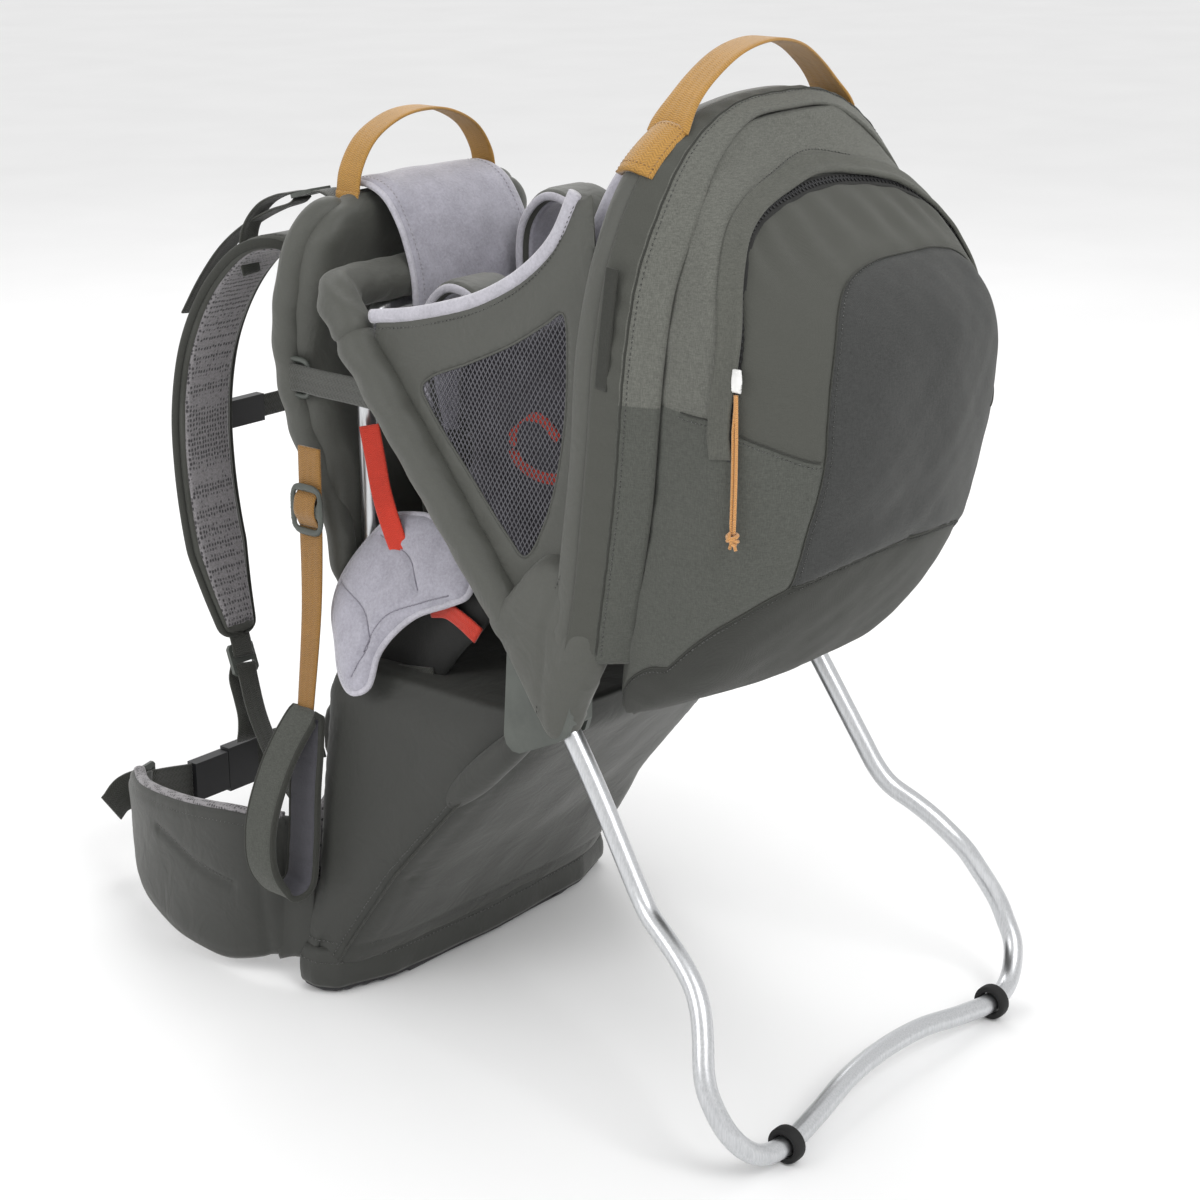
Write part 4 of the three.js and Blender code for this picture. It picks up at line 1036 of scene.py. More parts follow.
# ------------------------------------------------------------------ cockpit side panels with their netting windows
PANEL = [(-225, 372)] + [(HUB[0] + 0.64 * s - 0.7684 * o, HUB[1] + 0.7684 * s + 0.64 * o) for s, o in ((80, 14), (140, 14), (200, 14), (260, 14), (306, 13))]
PANEL += [(-58, 574), (-92, 581), (-130, 591), (-165, 603), (-205, 625), (-238, 655), (-258, 684), (-272, 690), (-274, 640), (-272, 600), (-268, 540), (-262, 480), (-252, 420)]
WIN = [(-243, 603), (-246, 560), (-240, 500), (-226, 448), (-206, 416), (-190, 428), (-150, 470), (-112, 512), (-103, 528), (-112, 537), (-150, 553), (-195, 574), (-228, 594)]
UP = path([(-52, 574), (-92, 581), (-130, 591), (-165, 603), (-205, 625), (-236, 653), (-256, 688)], 3.0)


def side_bulge(u, v, h, sg, k=0.0):
    b = 3.5 * np.sin(np.clip((v - 380) / 300, 0, 1) * np.pi)
    return np.stack([sg * (150 - b + h + k), u, v], -1)


for sd, sg in SIDES:
    win_lp = cr(WIN, True, 8)
    pan_lp = np.array(PANEL, float)
    piece = pillow(f"side_panel_{sd}_cloth", pan_lp, lambda u, v, h, sg=sg: side_bulge(u, v, h, sg),
                   lambda d, X: crown(d, 1.9, 7, 0.7) + 0.7 * np.sin(X[:, 0] / 8 + X[:, 1] / 11) * np.clip(d / 12, 0, 1) * 0.8, lambda d, X: crown(d, 0.9, 4, 0.6), SATIN, "carrier", "satin_cloth",
                   f"side_panel_{sd}", step=4.0, holes=[win_lp])
    # netting: two families of yarns clipped to the window
    V, F = [], []
    c, s = math.cos(math.radians(58)), math.sin(math.radians(58))
    lp = resample(win_lp, step=2.0, closed=True)
    big = lp.mean(0) + (lp - lp.mean(0)) * 1.02
    for d in ((c, s), (-c, s)):
        d = np.array(d)
        nn = np.array([-d[1], d[0]])
        o = lp @ nn
        for off in np.arange(o.min() + 1.5, o.max(), 3.6):
            e = np.vstack([big, big[:1]])
            w = e @ nn - off
            cut = [e[i] + (e[i + 1] - e[i]) * (w[i] / (w[i] - w[i + 1])) for i in range(len(e) - 1) if w[i] * w[i + 1] < 0]
            cut = sorted(cut, key=lambda p: p @ d)
            for p, q in zip(cut[::2], cut[1::2]):
                for a_, b_ in ((p, q),):
                    b0 = len(V)
                    for pt in (a_, b_):
                        for k in range(4):
                            an = k * math.pi / 2 + math.pi / 4
                            g = pt + nn * 0.5 * math.cos(an)
                            V.append(side_bulge(np.array(g[0]), np.array(g[1]), np.array(0.45 * math.sin(an)), sg))
                    for k in range(4):
                        k2 = (k + 1) % 4
                        F.append((b0 + k, b0 + k2, b0 + 4 + k2, b0 + 4 + k))
                    F += [(b0 + 3, b0 + 2, b0 + 1, b0), (b0 + 4, b0 + 5, b0 + 6, b0 + 7)]
    mk(f"window_net_{sd}", np.array(V), F, NET, "carrier", smooth=False)
    # turned edge round the window, fleece binding on the top edge
    W3 = resample(win_lp, step=3.0, closed=True)
    P3 = side_bulge(W3[:, 0], W3[:, 1], np.full(len(W3), 0.9), sg)
    strap(f"window_hem_{sd}", P3, 1.6, 1.8, (sg, 0, 0), SATIN, "carrier", closed=True)
    Pu = side_bulge(UP[:, 0], UP[:, 1], np.zeros(len(UP)), sg, 0.0)
    Pu[:, 2] += 1.0
    T, N, B = sided(Pu, (sg, 0, 0))
    V, F, UV = outward(*sweep(Pu, np.array([[c_[0] * 1.0, c_[1]] for c_ in circ(1, 20)]) * np.array([4.2, 5.4]), N, B))
    mk(f"cockpit_binding_{sd}", V, F, FLEECE_BIND, "carrier", "grey_fleece", luv=UV)
    Ps = Pu.copy(); Ps[:, 2] -= 9.5; Ps[:, 0] += sg * 2.0
    stitches(f"stitch_binding_{sd}", Ps, np.array([sg, 0, 0.0]), "carrier", pitch=4)
    # dark loop tape sewn on the hoop sleeve
    tp = path([(sg * 166.5, -303, 645), (sg * 169, -301, 615), (sg * 169.5, -298, 585), (sg * 169, -295, 560)], 4)
    strap(f"hoop_tape_{sd}", tp, 11, 1.8, (0, 1, 0), BINDING, "carrier")
    # fabric cuff over the hub, where arm, hoop and panel covers meet
    HC = [(-176, 366), (-200, 394), (-232, 424), (-262, 420), (-281, 392), (-283, 352), (-268, 318), (-252, 283), (-238, 281), (-222, 300), (-196, 338)]
    lp2 = cr(HC, True, 6)

    def cuff(u, v, h, sg=sg):
        return np.stack([sg * (150 + h), u, v], -1)
    pillow(f"hub_cuff_{sd}", lp2, cuff,
           lambda d, X: crown(d, 19.6, 24, 1.0) - groove(seg_dist(X, [(-262, 420), (-240, 372), (-236, 300)]), 1.6, 3.0) - groove(seg_dist(X, [(-190, 350), (-236, 372), (-283, 380)]), 1.2, 3.0) + 0.6 * np.sin(X[:, 0] / 7 + X[:, 1] / 9) * np.clip(d / 15, 0, 1),
           lambda d, X: crown(d, 15.5, 22, 1.0), SATIN, "carrier", "satin_cloth", step=3.5)
    q = np.array([(-260, 417), (-248, 392), (-240, 372), (-237, 340), (-236, 306)], float)
    q = resample(q, step=3)
    P5 = np.stack([np.full(len(q), sg * 168.2), q[:, 0] + 3.5, q[:, 1]], 1)
    stitches(f"stitch_cuff_{sd}", P5, np.array([sg, 0, 0.0]), "carrier", pitch=4)
    for nm in ("frame_hub", "pivot_pin"):
        pass

# ------------------------------------------------------------------ carry handles
fh = path([(-80, 38, 650), (-76, 38, 668), (-60, 38, 690), (-30, 38, 705), (0, 38, 709), (30, 38, 705), (60, 38, 690), (76, 38, 668), (80, 38, 650)], 3.0)
strap("front_handle_webbing", fh, 25, 2.4, (0, 1, 0), OCHRE, "carrier", "ochre_webbing", "front_handle")
rh = path([(-101, -298, 729), (-96, -298, 736.5), (-87, -298, 746), (-66, -299, 763), (-36, -301, 779), (0, -302, 785), (36, -301, 779), (66, -299, 763), (87, -298, 746), (96, -298, 736.5), (101, -298, 729)], 2.5)
strap("rear_handle_webbing", rh, lambda t: 27 + 9 * (np.exp(-(t / 0.09) ** 2) + np.exp(-((1 - t) / 0.09) ** 2)), 2.4, (0, 1, 0), OCHRE, "carrier", "ochre_webbing", "rear_handle")
for sd, sg in SIDES:
    # the ends lie on the sleeve and wrap over it, sewn down
    q = hp[(np.abs(hp[:, 0]) < 121) & (np.abs(hp[:, 0]) > 87) & (hp[:, 0] * sg > 0) & (hp[:, 2] > 640)]
    T = tangents(q)
    side = np.broadcast_to(np.array([0, 1.0, 0]), q.shape)
    N = unit(side - T * (side * T).sum(1, keepdims=True))
    B = np.cross(T, N)
    if (B[:, 2].mean()) < 0:
        B = -B
    a = np.linspace(-0.78, 1.02, 22)
    sec = np.vstack([np.stack([23.6 * np.sin(a), 23.6 * np.cos(a)], 1), np.stack([19.6 * np.sin(a[::-1]), 19.6 * np.cos(a[::-1])], 1)])
    V, F, UV = outward(*sweep(q, sec, N, B))
    mk(f"rear_handle_patch_{sd}", V, F, OCHRE, "carrier", "ochre_webbing", luv=UV)
    for k_, an in (("a", -0.64), ("b", 0.88)):
        e = q + N * 23.6 * math.sin(an) + B * 23.6 * math.cos(an)
        stitches(f"stitch_rh_{sd}_{k_}", e, N * math.sin(an) + B * math.cos(an), "carrier", THREAD_OC, pitch=3.2, length=2.2)
    for k_, i0 in (("c", 1), ("d", len(q) - 3)):
        an = np.linspace(-0.64, 0.88, 20)[:, None]
        stitches(f"stitch_rh_{sd}_{k_}", q[i0] + N[i0] * 23.6 * np.sin(an) + B[i0] * 23.6 * np.cos(an), N[i0] * np.sin(an) + B[i0] * np.cos(an), "carrier", THREAD_OC, pitch=3.2, length=2.2)
    pts = np.array([(sg * 77, 38 - 10, 664), (sg * 77, 38 + 10, 664)])
    stitches(f"stitch_fh_{sd}", resample(pts, step=2), np.array([sg * 0.97, 0, 0.2]), "carrier", THREAD_OC, pitch=3.2, length=2.2, lift=1.4)
    anchor = path([(sg * 80.5, 38, 652), (sg * 82, 38, 640), (sg * 84, 40, 628)], 3)
    strap(f"front_handle_anchor_{sd}", anchor, 25, 2.2, (0, 1, 0), OCHRE, "carrier", "ochre_webbing")

# cloth that joins the hoop sleeve to the front edge of the cargo pack, all the way round
EDGE = [(-136, -300, 352), (-145, -308, 385), (-151, -320, 430), (-154, -330, 480), (-155.5, -336, 535), (-154.5, -340, 585), (-146, -342, 632), (-127, -344, 672), (-102, -338, 703), (-77, -334, 722), (-45, -331, 736), (0, -331, 738.5)]
Bc = resample(cr(mirrored(EDGE)), n=200)
hk = hp[(hp[:, 2] > 352)]
Tn = tangents(hk)
No = unit(np.cross(np.array([0, 1.0, 0]), Tn))
No = No * np.sign((No * (hk - np.array([0, -280, 520.0]))).sum(1, keepdims=True))
Ac = resample(hk + No * 17.2 + np.array([0, -7.0, 0]), n=240)
Bc = resample(cr(mirrored(EDGE)), n=240)
sv = np.linspace(0, 1, 15)[None, :, None]
Gs = Ac[:, None] * (1 - sv) + Bc[::1][:, None] * sv if Ac[0, 0] * Bc[0, 0] > 0 else Ac[:, None] * (1 - sv) + Bc[::-1][:, None] * sv
bul = np.sin(np.pi * np.clip(sv[..., 0] * 0.92 + 0.04, 0, 1))
ua = np.linspace(0, 1, len(Ac))[:, None]
out_ = unit(Gs - np.array([0, -300, 0]) - Gs * np.array([0, 0, 0.0]) - np.stack([0 * Gs[..., 0], 0 * Gs[..., 0], np.minimum(Gs[..., 2], 600)], -1))
out_[..., 1] = 0
out_ = unit(out_)
Gs = Gs + out_ * (4.6 * bul + 0.9 * np.sin(ua * 300) * np.exp(-((sv[..., 0] - 0.36) / 0.16) ** 2))[..., None]
V, F, UV, Ns = slab(Gs, np.full(Gs.shape[:2], 1.5), np.full(Gs.shape[:2], 1.5))
nv2 = len(V)
V, F, UV = outward(V, F, UV)
mk("hoop_skirt", V, F, PACKCLOTH, "carrier", "heather_cloth", luv=UV, attrs={k_: ((V[:, 2] - 551) if k_ == "r_up" else (6.5 - np.arange(nv2) % 15) * 6.0 if k_ == "r_satin" else np.full(nv2, -100.0)) for k_ in ("r_up", "r_satin", "r_cen", "r_bot")})
sgn = np.sign((Ns[120, 6] * np.array([0, 0, 1.0])).sum())
along_surface("hoop_skirt_seam", Gs[2:-2, 7] + Ns[2:-2, 7] * sgn * 1.5, Ns[2:-2, 7] * sgn, 1.8, 1.6, BINDING, "carrier")
stitches("stitch_skirt", Gs[2:-2, 8] + Ns[2:-2, 8] * sgn * 1.6, Ns[2:-2, 8] * sgn, "carrier", pitch=4)
# fleece lining seen inside the hoop, over the child's head
fl = [p for p in hp if p[2] > 628]
fl = np.array(fl) + np.array([0, 20.0, 0])
cen_ = np.array([0, 0, 600.0])
fl[:, 0] *= 0.985
Tf, Nf, Bf = sided(fl, (0, 1, 0))
sec = np.array([[12.5 * math.cos(u), 6.0 * math.sin(u)] for u in np.arange(20) * 2 * math.pi / 20])
V, F, UV = outward(*sweep(fl, sec, Nf, Bf))
hl = mk("hoop_lining", V, F, FLEECE, "carrier", "grey_fleece", luv=UV)
head = pillow("headrest_panel", cr(np.array([(-120, 600), (-128, 640), (-108, 680), (-70, 704), (0, 712), (70, 704), (108, 680), (128, 640), (120, 600), (60, 592), (-60, 592)], float), True, 8),
              lambda u, v, h: np.stack([u, -272 + h, v], -1), lambda d, X: crown(d, 9, 24, 1) - groove(np.abs(d - 18), 1.4, 2.4), lambda d, X: crown(d, 5, 16, 1), CHARCOAL, "carrier", "charcoal_cloth", step=5)

# ------------------------------------------------------------------ back panel, yoke, lumbar pad
BL = np.array([[165, 22, 34, 12.6, 116], [250, 22, 36, 12.6, 120], [330, 23, 38, 12.6, 121], [392, 28, 44, 12.6, 122], [431, 51, 58, 14, 123], [469, 70, 74, 26, 124],
               [508, 80, 84, 38, 125], [549, 81, 85, 40, 125], [599, 68, 74, 28, 124], [622, 54, 60, 20, 120], [640, 46, 50, 20, 106], [648, 40, 42, 26, 88]], float)


def loft_rings(L, ringf, step=3.5, sub=10, round_ends=True):
    d = cr(L, sub=sub)
    d = resample(d, step=step)
    rings = np.array([ringf(r) for r in d])
    return d, rings


def loft(name, rings, mat, body, slot=None, rep=(), disp=None, cap_out=(1.5, 1.5), attrs=None):
    m, k = rings.shape[:2]
    du = np.gradient(rings, axis=0)
    dv = np.roll(rings, -1, 1) - np.roll(rings, 1, 1)
    N = unit(np.cross(du, dv))
    c = rings.mean(1, keepdims=True)
    s = np.sign(((rings - c) * N).sum())
    N = N * s
    R = rings if disp is None else rings + N * disp(rings, N)[..., None]
    V = R.reshape(-1, 3)
    F = []
    for i in range(m - 1):
        for j in range(k):
            q = (j + 1) % k
            F.append((i * k + j, i * k + q, (i + 1) * k + q, (i + 1) * k + j))
    # caps: two shrinking rings and a centre, so the end is rounded and not a fan
    for r, out in ((0, cap_out[0]), (m - 1, cap_out[1])):
        base = R[r]
        cc = base.mean(0)
        ax = unit(c[r, 0] - c[1 if r == 0 else m - 2, 0])
        prev = np.arange(r * k, (r + 1) * k)
        for f, o in ((0.93, 0.75), (0.7, 1.0), (0.35, 1.05)):
            b = len(V)
            V = np.vstack([V, cc + (base - cc) * f + ax * out * o])
            cur = np.arange(b, b + k)
            for j in range(k):
                q = (j + 1) % k
                F.append((prev[j], cur[j], cur[q], prev[q]) if r == 0 else (prev[j], prev[q], cur[q], cur[j]))
            prev = cur
        b = len(V)
        V = np.vstack([V, (cc + ax * out * 1.05)[None]])
        for j in range(k):
            q = (j + 1) % k
            F.append((prev[j], b, prev[q]) if r == 0 else (prev[j], prev[q], b))
    V, F, _ = outward(V, F)
    return mk(name, V, F, mat, body, slot, rep), N, R


def smooth_ring(pts, z, n=96):
    p = np.array([(x, y, z) for x, y in pts], float)
    return resample(cr(p, True, 8), n=n, closed=True)


def bp_ring(r):
    z, fe, fm, rr, w = r
    half = [(0, fm), (w * 0.45, fm - (fm - fe) * 0.15), (w * 0.78, fm - (fm - fe) * 0.5), (w * 0.93, fe + 1.5), (w, fe - (fe - rr) * 0.35), (w * 0.985, rr + (fe - rr) * 0.2), (w * 0.9, rr + 0.4), (w * 0.6, rr)]
    return smooth_ring(half + [(0, rr)] + [(-x, y) for x, y in half[:0:-1]], z, 120)


_, braid_relief_and_shade = loft_rings(BL, bp_ring, 4.0)


def bp_disp(R, N):
    x, y, z = R[..., 0], R[..., 1], R[..., 2]
    ax = np.abs(x)
    d = 1.6 * (1 - np.exp(-((ax - 92) / 10) ** 2)) - 0.6
    fold = 1.3 * np.sin((z + 0.6 * ax + 0.5 * y) / 11) * np.exp(-((ax - 108) / 22) ** 2) * np.exp(-((z - 470) / 110) ** 2)
    ch = -2.2 * np.exp(-((ax - 92) / 4.5) ** 2) * (N[..., 1] > 0.3)
    mid = -2.0 * np.exp(-(x / 5.0) ** 2) * (N[..., 1] > 0.3) * (z < 480)
    return d * 0.6 + fold + ch + mid + 0.5 * wob(R, 60, 11)


loft("back_panel_cover", braid_relief_and_shade, SATIN, "carrier", "satin_cloth", "back_panel", disp=bp_disp, cap_out=(2, 3))
# padded rolls along both edges of the back panel's upper half
for sd, sg in SIDES:
    pr = path([(sg * 84, 36, 640), (sg * 104, 44, 636), (sg * 117, 52, 618), (sg * 120.5, 60, 590), (sg * 121, 67, 550), (sg * 121, 64, 508), (sg * 120, 54, 469), (sg * 119, 38, 431), (sg * 118, 22, 392), (sg * 117, 18, 340)], 3)
    tube(f"back_panel_roll_{sd}", pr, 11, SATIN, "carrier", "satin_cloth", k=30,
         rf=lambda t, a, P: (11.2 + 3.0 * np.sin(np.pi * np.clip(t * 1.1, 0, 1)) + 0.8 * np.sin(t * 60 + 2 * a) * np.exp(-((t - 0.55) / 0.3) ** 2) - 0.9 * np.exp(-(np.angle(np.exp(1j * (a - 0.9))) / 0.09) ** 2)) * (1 - 0.5 * np.exp(-(t / 0.02) ** 2) - 0.5 * np.exp(-((1 - t) / 0.03) ** 2)))
# ventilated pads on the wearer's face of the panel
for sd, sg in SIDES:
    O = [(8, 190), (80, 190), (84, 300), (84, 400), (70, 440), (10, 440)]
    yf = lambda v: np.interp(v, BL[:, 0], BL[:, 2])
    pillow(f"back_vent_pad_{sd}", cr(O, True, 6), lambda u, v, h, sg=sg: np.stack([sg * u, yf(v) - 0.035 * np.abs(u) + h - 0.5, v], -1),
           lambda d, X: crown(d, 6.5, 14, 0.8) - groove(np.abs((X[:, 1] - 200) % 42 - 21), 1.8, 3.0), lambda d, X: crown(d, 3, 10, 0.8), SPACER, "carrier", "spacer_mesh", step=4.5)
pillow("yoke_pad_cover", cr([(-60, 503), (60, 503), (63, 540), (58, 572), (0, 577), (-58, 572), (-63, 540)], True, 6), lambda u, v, h: np.stack([u, 92.5 + h, v], -1),
       lambda d, X: crown(d, 6.0, 12, 0.8) - groove(np.abs(np.abs(X[:, 0]) - 28), 1.5, 3), lambda d, X: crown(d, 4.2, 10, 0.8), SATIN, "shoulder_harness", "satin_cloth", "yoke_pad", step=4)
lum = pillow("lumbar_pad_cover", cr([(-146, 34), (0, 30), (146, 34), (157, 60), (156, 112), (140, 150), (118, 163), (0, 164), (-118, 163), (-140, 150), (-156, 112), (-157, 60)], True, 6),
             lambda u, v, h: np.stack([u, 30 + h + 0.0 * u, v], -1),
             lambda d, X: crown(d, 15, 26, 1.0) - 4.5 * np.exp(-(X[:, 0] / 22) ** 2) - groove(np.abs(np.abs(X[:, 0]) - 34), 2.2, 3.5) - groove(np.abs((X[:, 1] - 40) % 40 - 20) + 40 * (np.abs(X[:, 0]) < 36), 1.4, 3.0),
             lambda d, X: np.minimum(crown(d, 16, 18, 1.0), np.interp(X[:, 1], [30, 60, 110, 164], [2, 2, 16.8, 16.8])), SPACER, "carrier", "spacer_mesh", "lumbar_pad", step=4.5)

# ------------------------------------------------------------------ lower compartment and base
LC = np.array([[21.9, 176, 27, -22], [60, 172, 27, -46], [100, 168, 12, -72], [121, 166, 12, -86], [160, 162, 12, -118], [201, 157, 12, -152], [240, 152, 12, -184], [262, 149, 12, -202], [284, 138, 8, -206]], float)


def lc_ring(r):
    z, w, yf_, yr = r
    half = [(0, yr - 6), (w - 60, yr - 3), (w - 30, yr + 3), (w - 9, yr + 17), (w - 0.5, yr + 42), (w + 0.5, (yr + yf_) / 2 + 8), (w, yf_ - 12), (w - 5, yf_ - 1.5), (w - 16, yf_ + 0.3), (w - 60, yf_)]
    return smooth_ring(half + [(0, yf_)] + [(-x, y) for x, y in half[:0:-1]], z, 200)


_, lr = loft_rings(LC, lc_ring, 4.0)
SEAM_LC = [(-258, 309), (-223, 276), (-171, 218), (-117, 160), (-77, 113), (-59, 81), (-50, 45), (-46, 22)]


def lc_disp(R, N):
    x, y, z = R[..., 0], R[..., 1], R[..., 2]
    sidef = np.clip(np.abs(N[..., 0]), 0, 1)
    d = seg_dist(np.stack([y, z], -1), SEAM_LC)
    o = -groove(d, 3.2, 3.2) * (sidef > 0.4) + 1.4 * np.exp(-((d - 9) / 7) ** 2) * (sidef > 0.4)
    o += 1.0 * wob(R, 120, 21, aniso=(1, 1, 0.7)) + 0.5 * wob(R, 45, 22, aniso=(1, 1.0, 0.5))
    o += 1.4 * np.sin((y * 0.75 + z) / 17 + 0.6) * np.exp(-((z - 110) / 60) ** 2) * np.exp(-((y + 70) / 60) ** 2) * sidef
    o += -groove(np.abs(z - 47), 1.2, 2.2) * 1.0
    o += 1.0 * np.exp(-((z - 34) / 9) ** 2)
    o -= 2.5 * np.exp(-((z - 23) / 3.5) ** 2)
    return o


loft("lower_compartment_cover", lr, SATIN_DK, "carrier", "satin_cloth", "lower_compartment", disp=lc_disp, cap_out=(0.6, 1.0))
for sd, sg in SIDES:
    q = resample(cr(SEAM_LC[1:-1], sub=10), step=3)
    q = q[(q[:, 1] < 262)]
    wq = np.interp(q[:, 1], LC[:, 0], LC[:, 1])
    P = np.stack([sg * (wq + 1.1), q[:, 0] + 4.5, q[:, 1]], 1)
    keep = q[:, 0] > np.interp(q[:, 1], LC[:, 0], LC[:, 3]) + 24
    if keep.sum() > 4:
        stitches(f"stitch_lower_{sd}", P[keep], np.array([sg, 0, 0.0]), "carrier", pitch=4)
        Pk = P[keep] - np.array([0, 4.5, 0])
        along_surface(f"seam_lower_{sd}", Pk, np.tile(np.array([sg, 0, 0.0]), (len(Pk), 1)), 2.2, 2.6, BINDING, "carrier")
for sd, sg in SIDES:
    zs = np.arange(30.0, 270.0, 3.0)
    ws, yrs = np.interp(zs, LC[:, 0], LC[:, 1]), np.interp(zs, LC[:, 0], LC[:, 3])
    Pq = np.stack([sg * (ws - 7.6), yrs + 16.0, zs], 1)
    nq = np.tile(unit(np.array([sg * 0.66, -0.75, 0.0])), (len(zs), 1))
    along_surface(f"seam_corner_{sd}", Pq + nq * 0.9, nq, 2.2, 2.4, BINDING, "carrier")
    n2 = np.tile(unit(np.array([sg * 0.9, -0.4, 0.0])), (len(zs), 1))
    stitches(f"stitch_corner_{sd}", np.stack([sg * (ws - 4.2), yrs + 22.5, zs], 1) + n2 * 0.9, n2, "carrier", pitch=4)
hemring = lc_ring([46.0, 173.6, 27, -37.6])
stitches("stitch_hem", np.vstack([hemring + unit(hemring - hemring.mean(0)) * 0.3, hemring[:1]]), unit(np.vstack([hemring, hemring[:1]]) - hemring.mean(0)), "carrier", pitch=4.2, length=2.8)
# base board with a rounded rubbed edge; a bound skirt seam over its top
BO = [(172, 27), (178, 20), (179, 4), (170, -12), (120, -30), (0, -36), (-120, -30), (-170, -12), (-179, 4), (-178, 20), (-172, 27)]
pillow("base_board_shell", resample(np.array(BO, float), step=6, closed=True), lambda u, v, h: np.stack([u, v, 10.75 + h], -1),
       lambda d, X: crown(d, 10.6, 5, 5.5), lambda d, X: crown(d, 10.75, 3.5, 6.5), BLACK, "carrier", "black_plastic", "base_board", step=6)
skirt = resample(np.array(BO, float), step=4, closed=True)
cs = skirt.mean(0)
tn = tangents(np.column_stack([skirt, np.zeros(len(skirt))]), True)
on = np.stack([tn[:, 1], -tn[:, 0]], 1)
on = on * np.sign((on * (skirt - np.array([0, -4.0]))).sum(1, keepdims=True))
hemG = np.array([[[p[0] + o_[0] * w_, p[1] + o_[1] * w_, z_] for z_, w_ in ((7.5, 1.0), (10, 1.9), (16, 2.2), (22, 2.0), (28, 0.6), (34, -1.5), (40, -4.0))] for p, o_ in zip(skirt, on)])
hemG = hemG + 0.5 * wob(hemG, 42, 77)[..., None] * np.append(on[:, None] * np.ones((1, 7, 1)), np.zeros((len(on), 7, 1)), -1)
V, F, UV, Nh = slab(hemG, np.full(hemG.shape[:2], 1.1), np.full(hemG.shape[:2], 0.9), closed_u=True)
V, F, UV = outward(V, F, UV)
mk("lower_hem", V, F, SATIN_DK, "carrier", "satin_cloth", luv=UV)
hs = np.sign((Nh[0, 3] * np.append(on[0], 0)).sum())
st_ = hemG[:, 4] + Nh[:, 4] * hs * 1.1
stitches("stitch_lower_hem", np.vstack([st_, st_[:1]]), np.vstack([Nh[:, 4], Nh[:1, 4]]) * hs, "carrier", pitch=4.4)
# sleeves of cloth over the two struts where they leave the hubs
for sd, sg in SIDES:
    ss = path([(sg * 150, -229, 297), (sg * 149.5, -215, 284), (sg * 148, -198, 268), (sg * 146, -165, 237), (sg * 143, -132, 208), (sg * 141, -118, 196)], 3)
    tube(f"strut_gusset_{sd}", ss, 12, SATIN_DK, "carrier", k=30, rf=lambda t, a, P: 9.3 + 3.4 * np.sin(np.pi * np.clip(t - 0.15, 0, 1)) + 0.5 * np.sin(3 * a + t * 14) * t)

# ------------------------------------------------------------------ hip belt
def interp(pairs, t):
    return np.interp(t, [a for a, _ in pairs], [b for _, b in pairs])


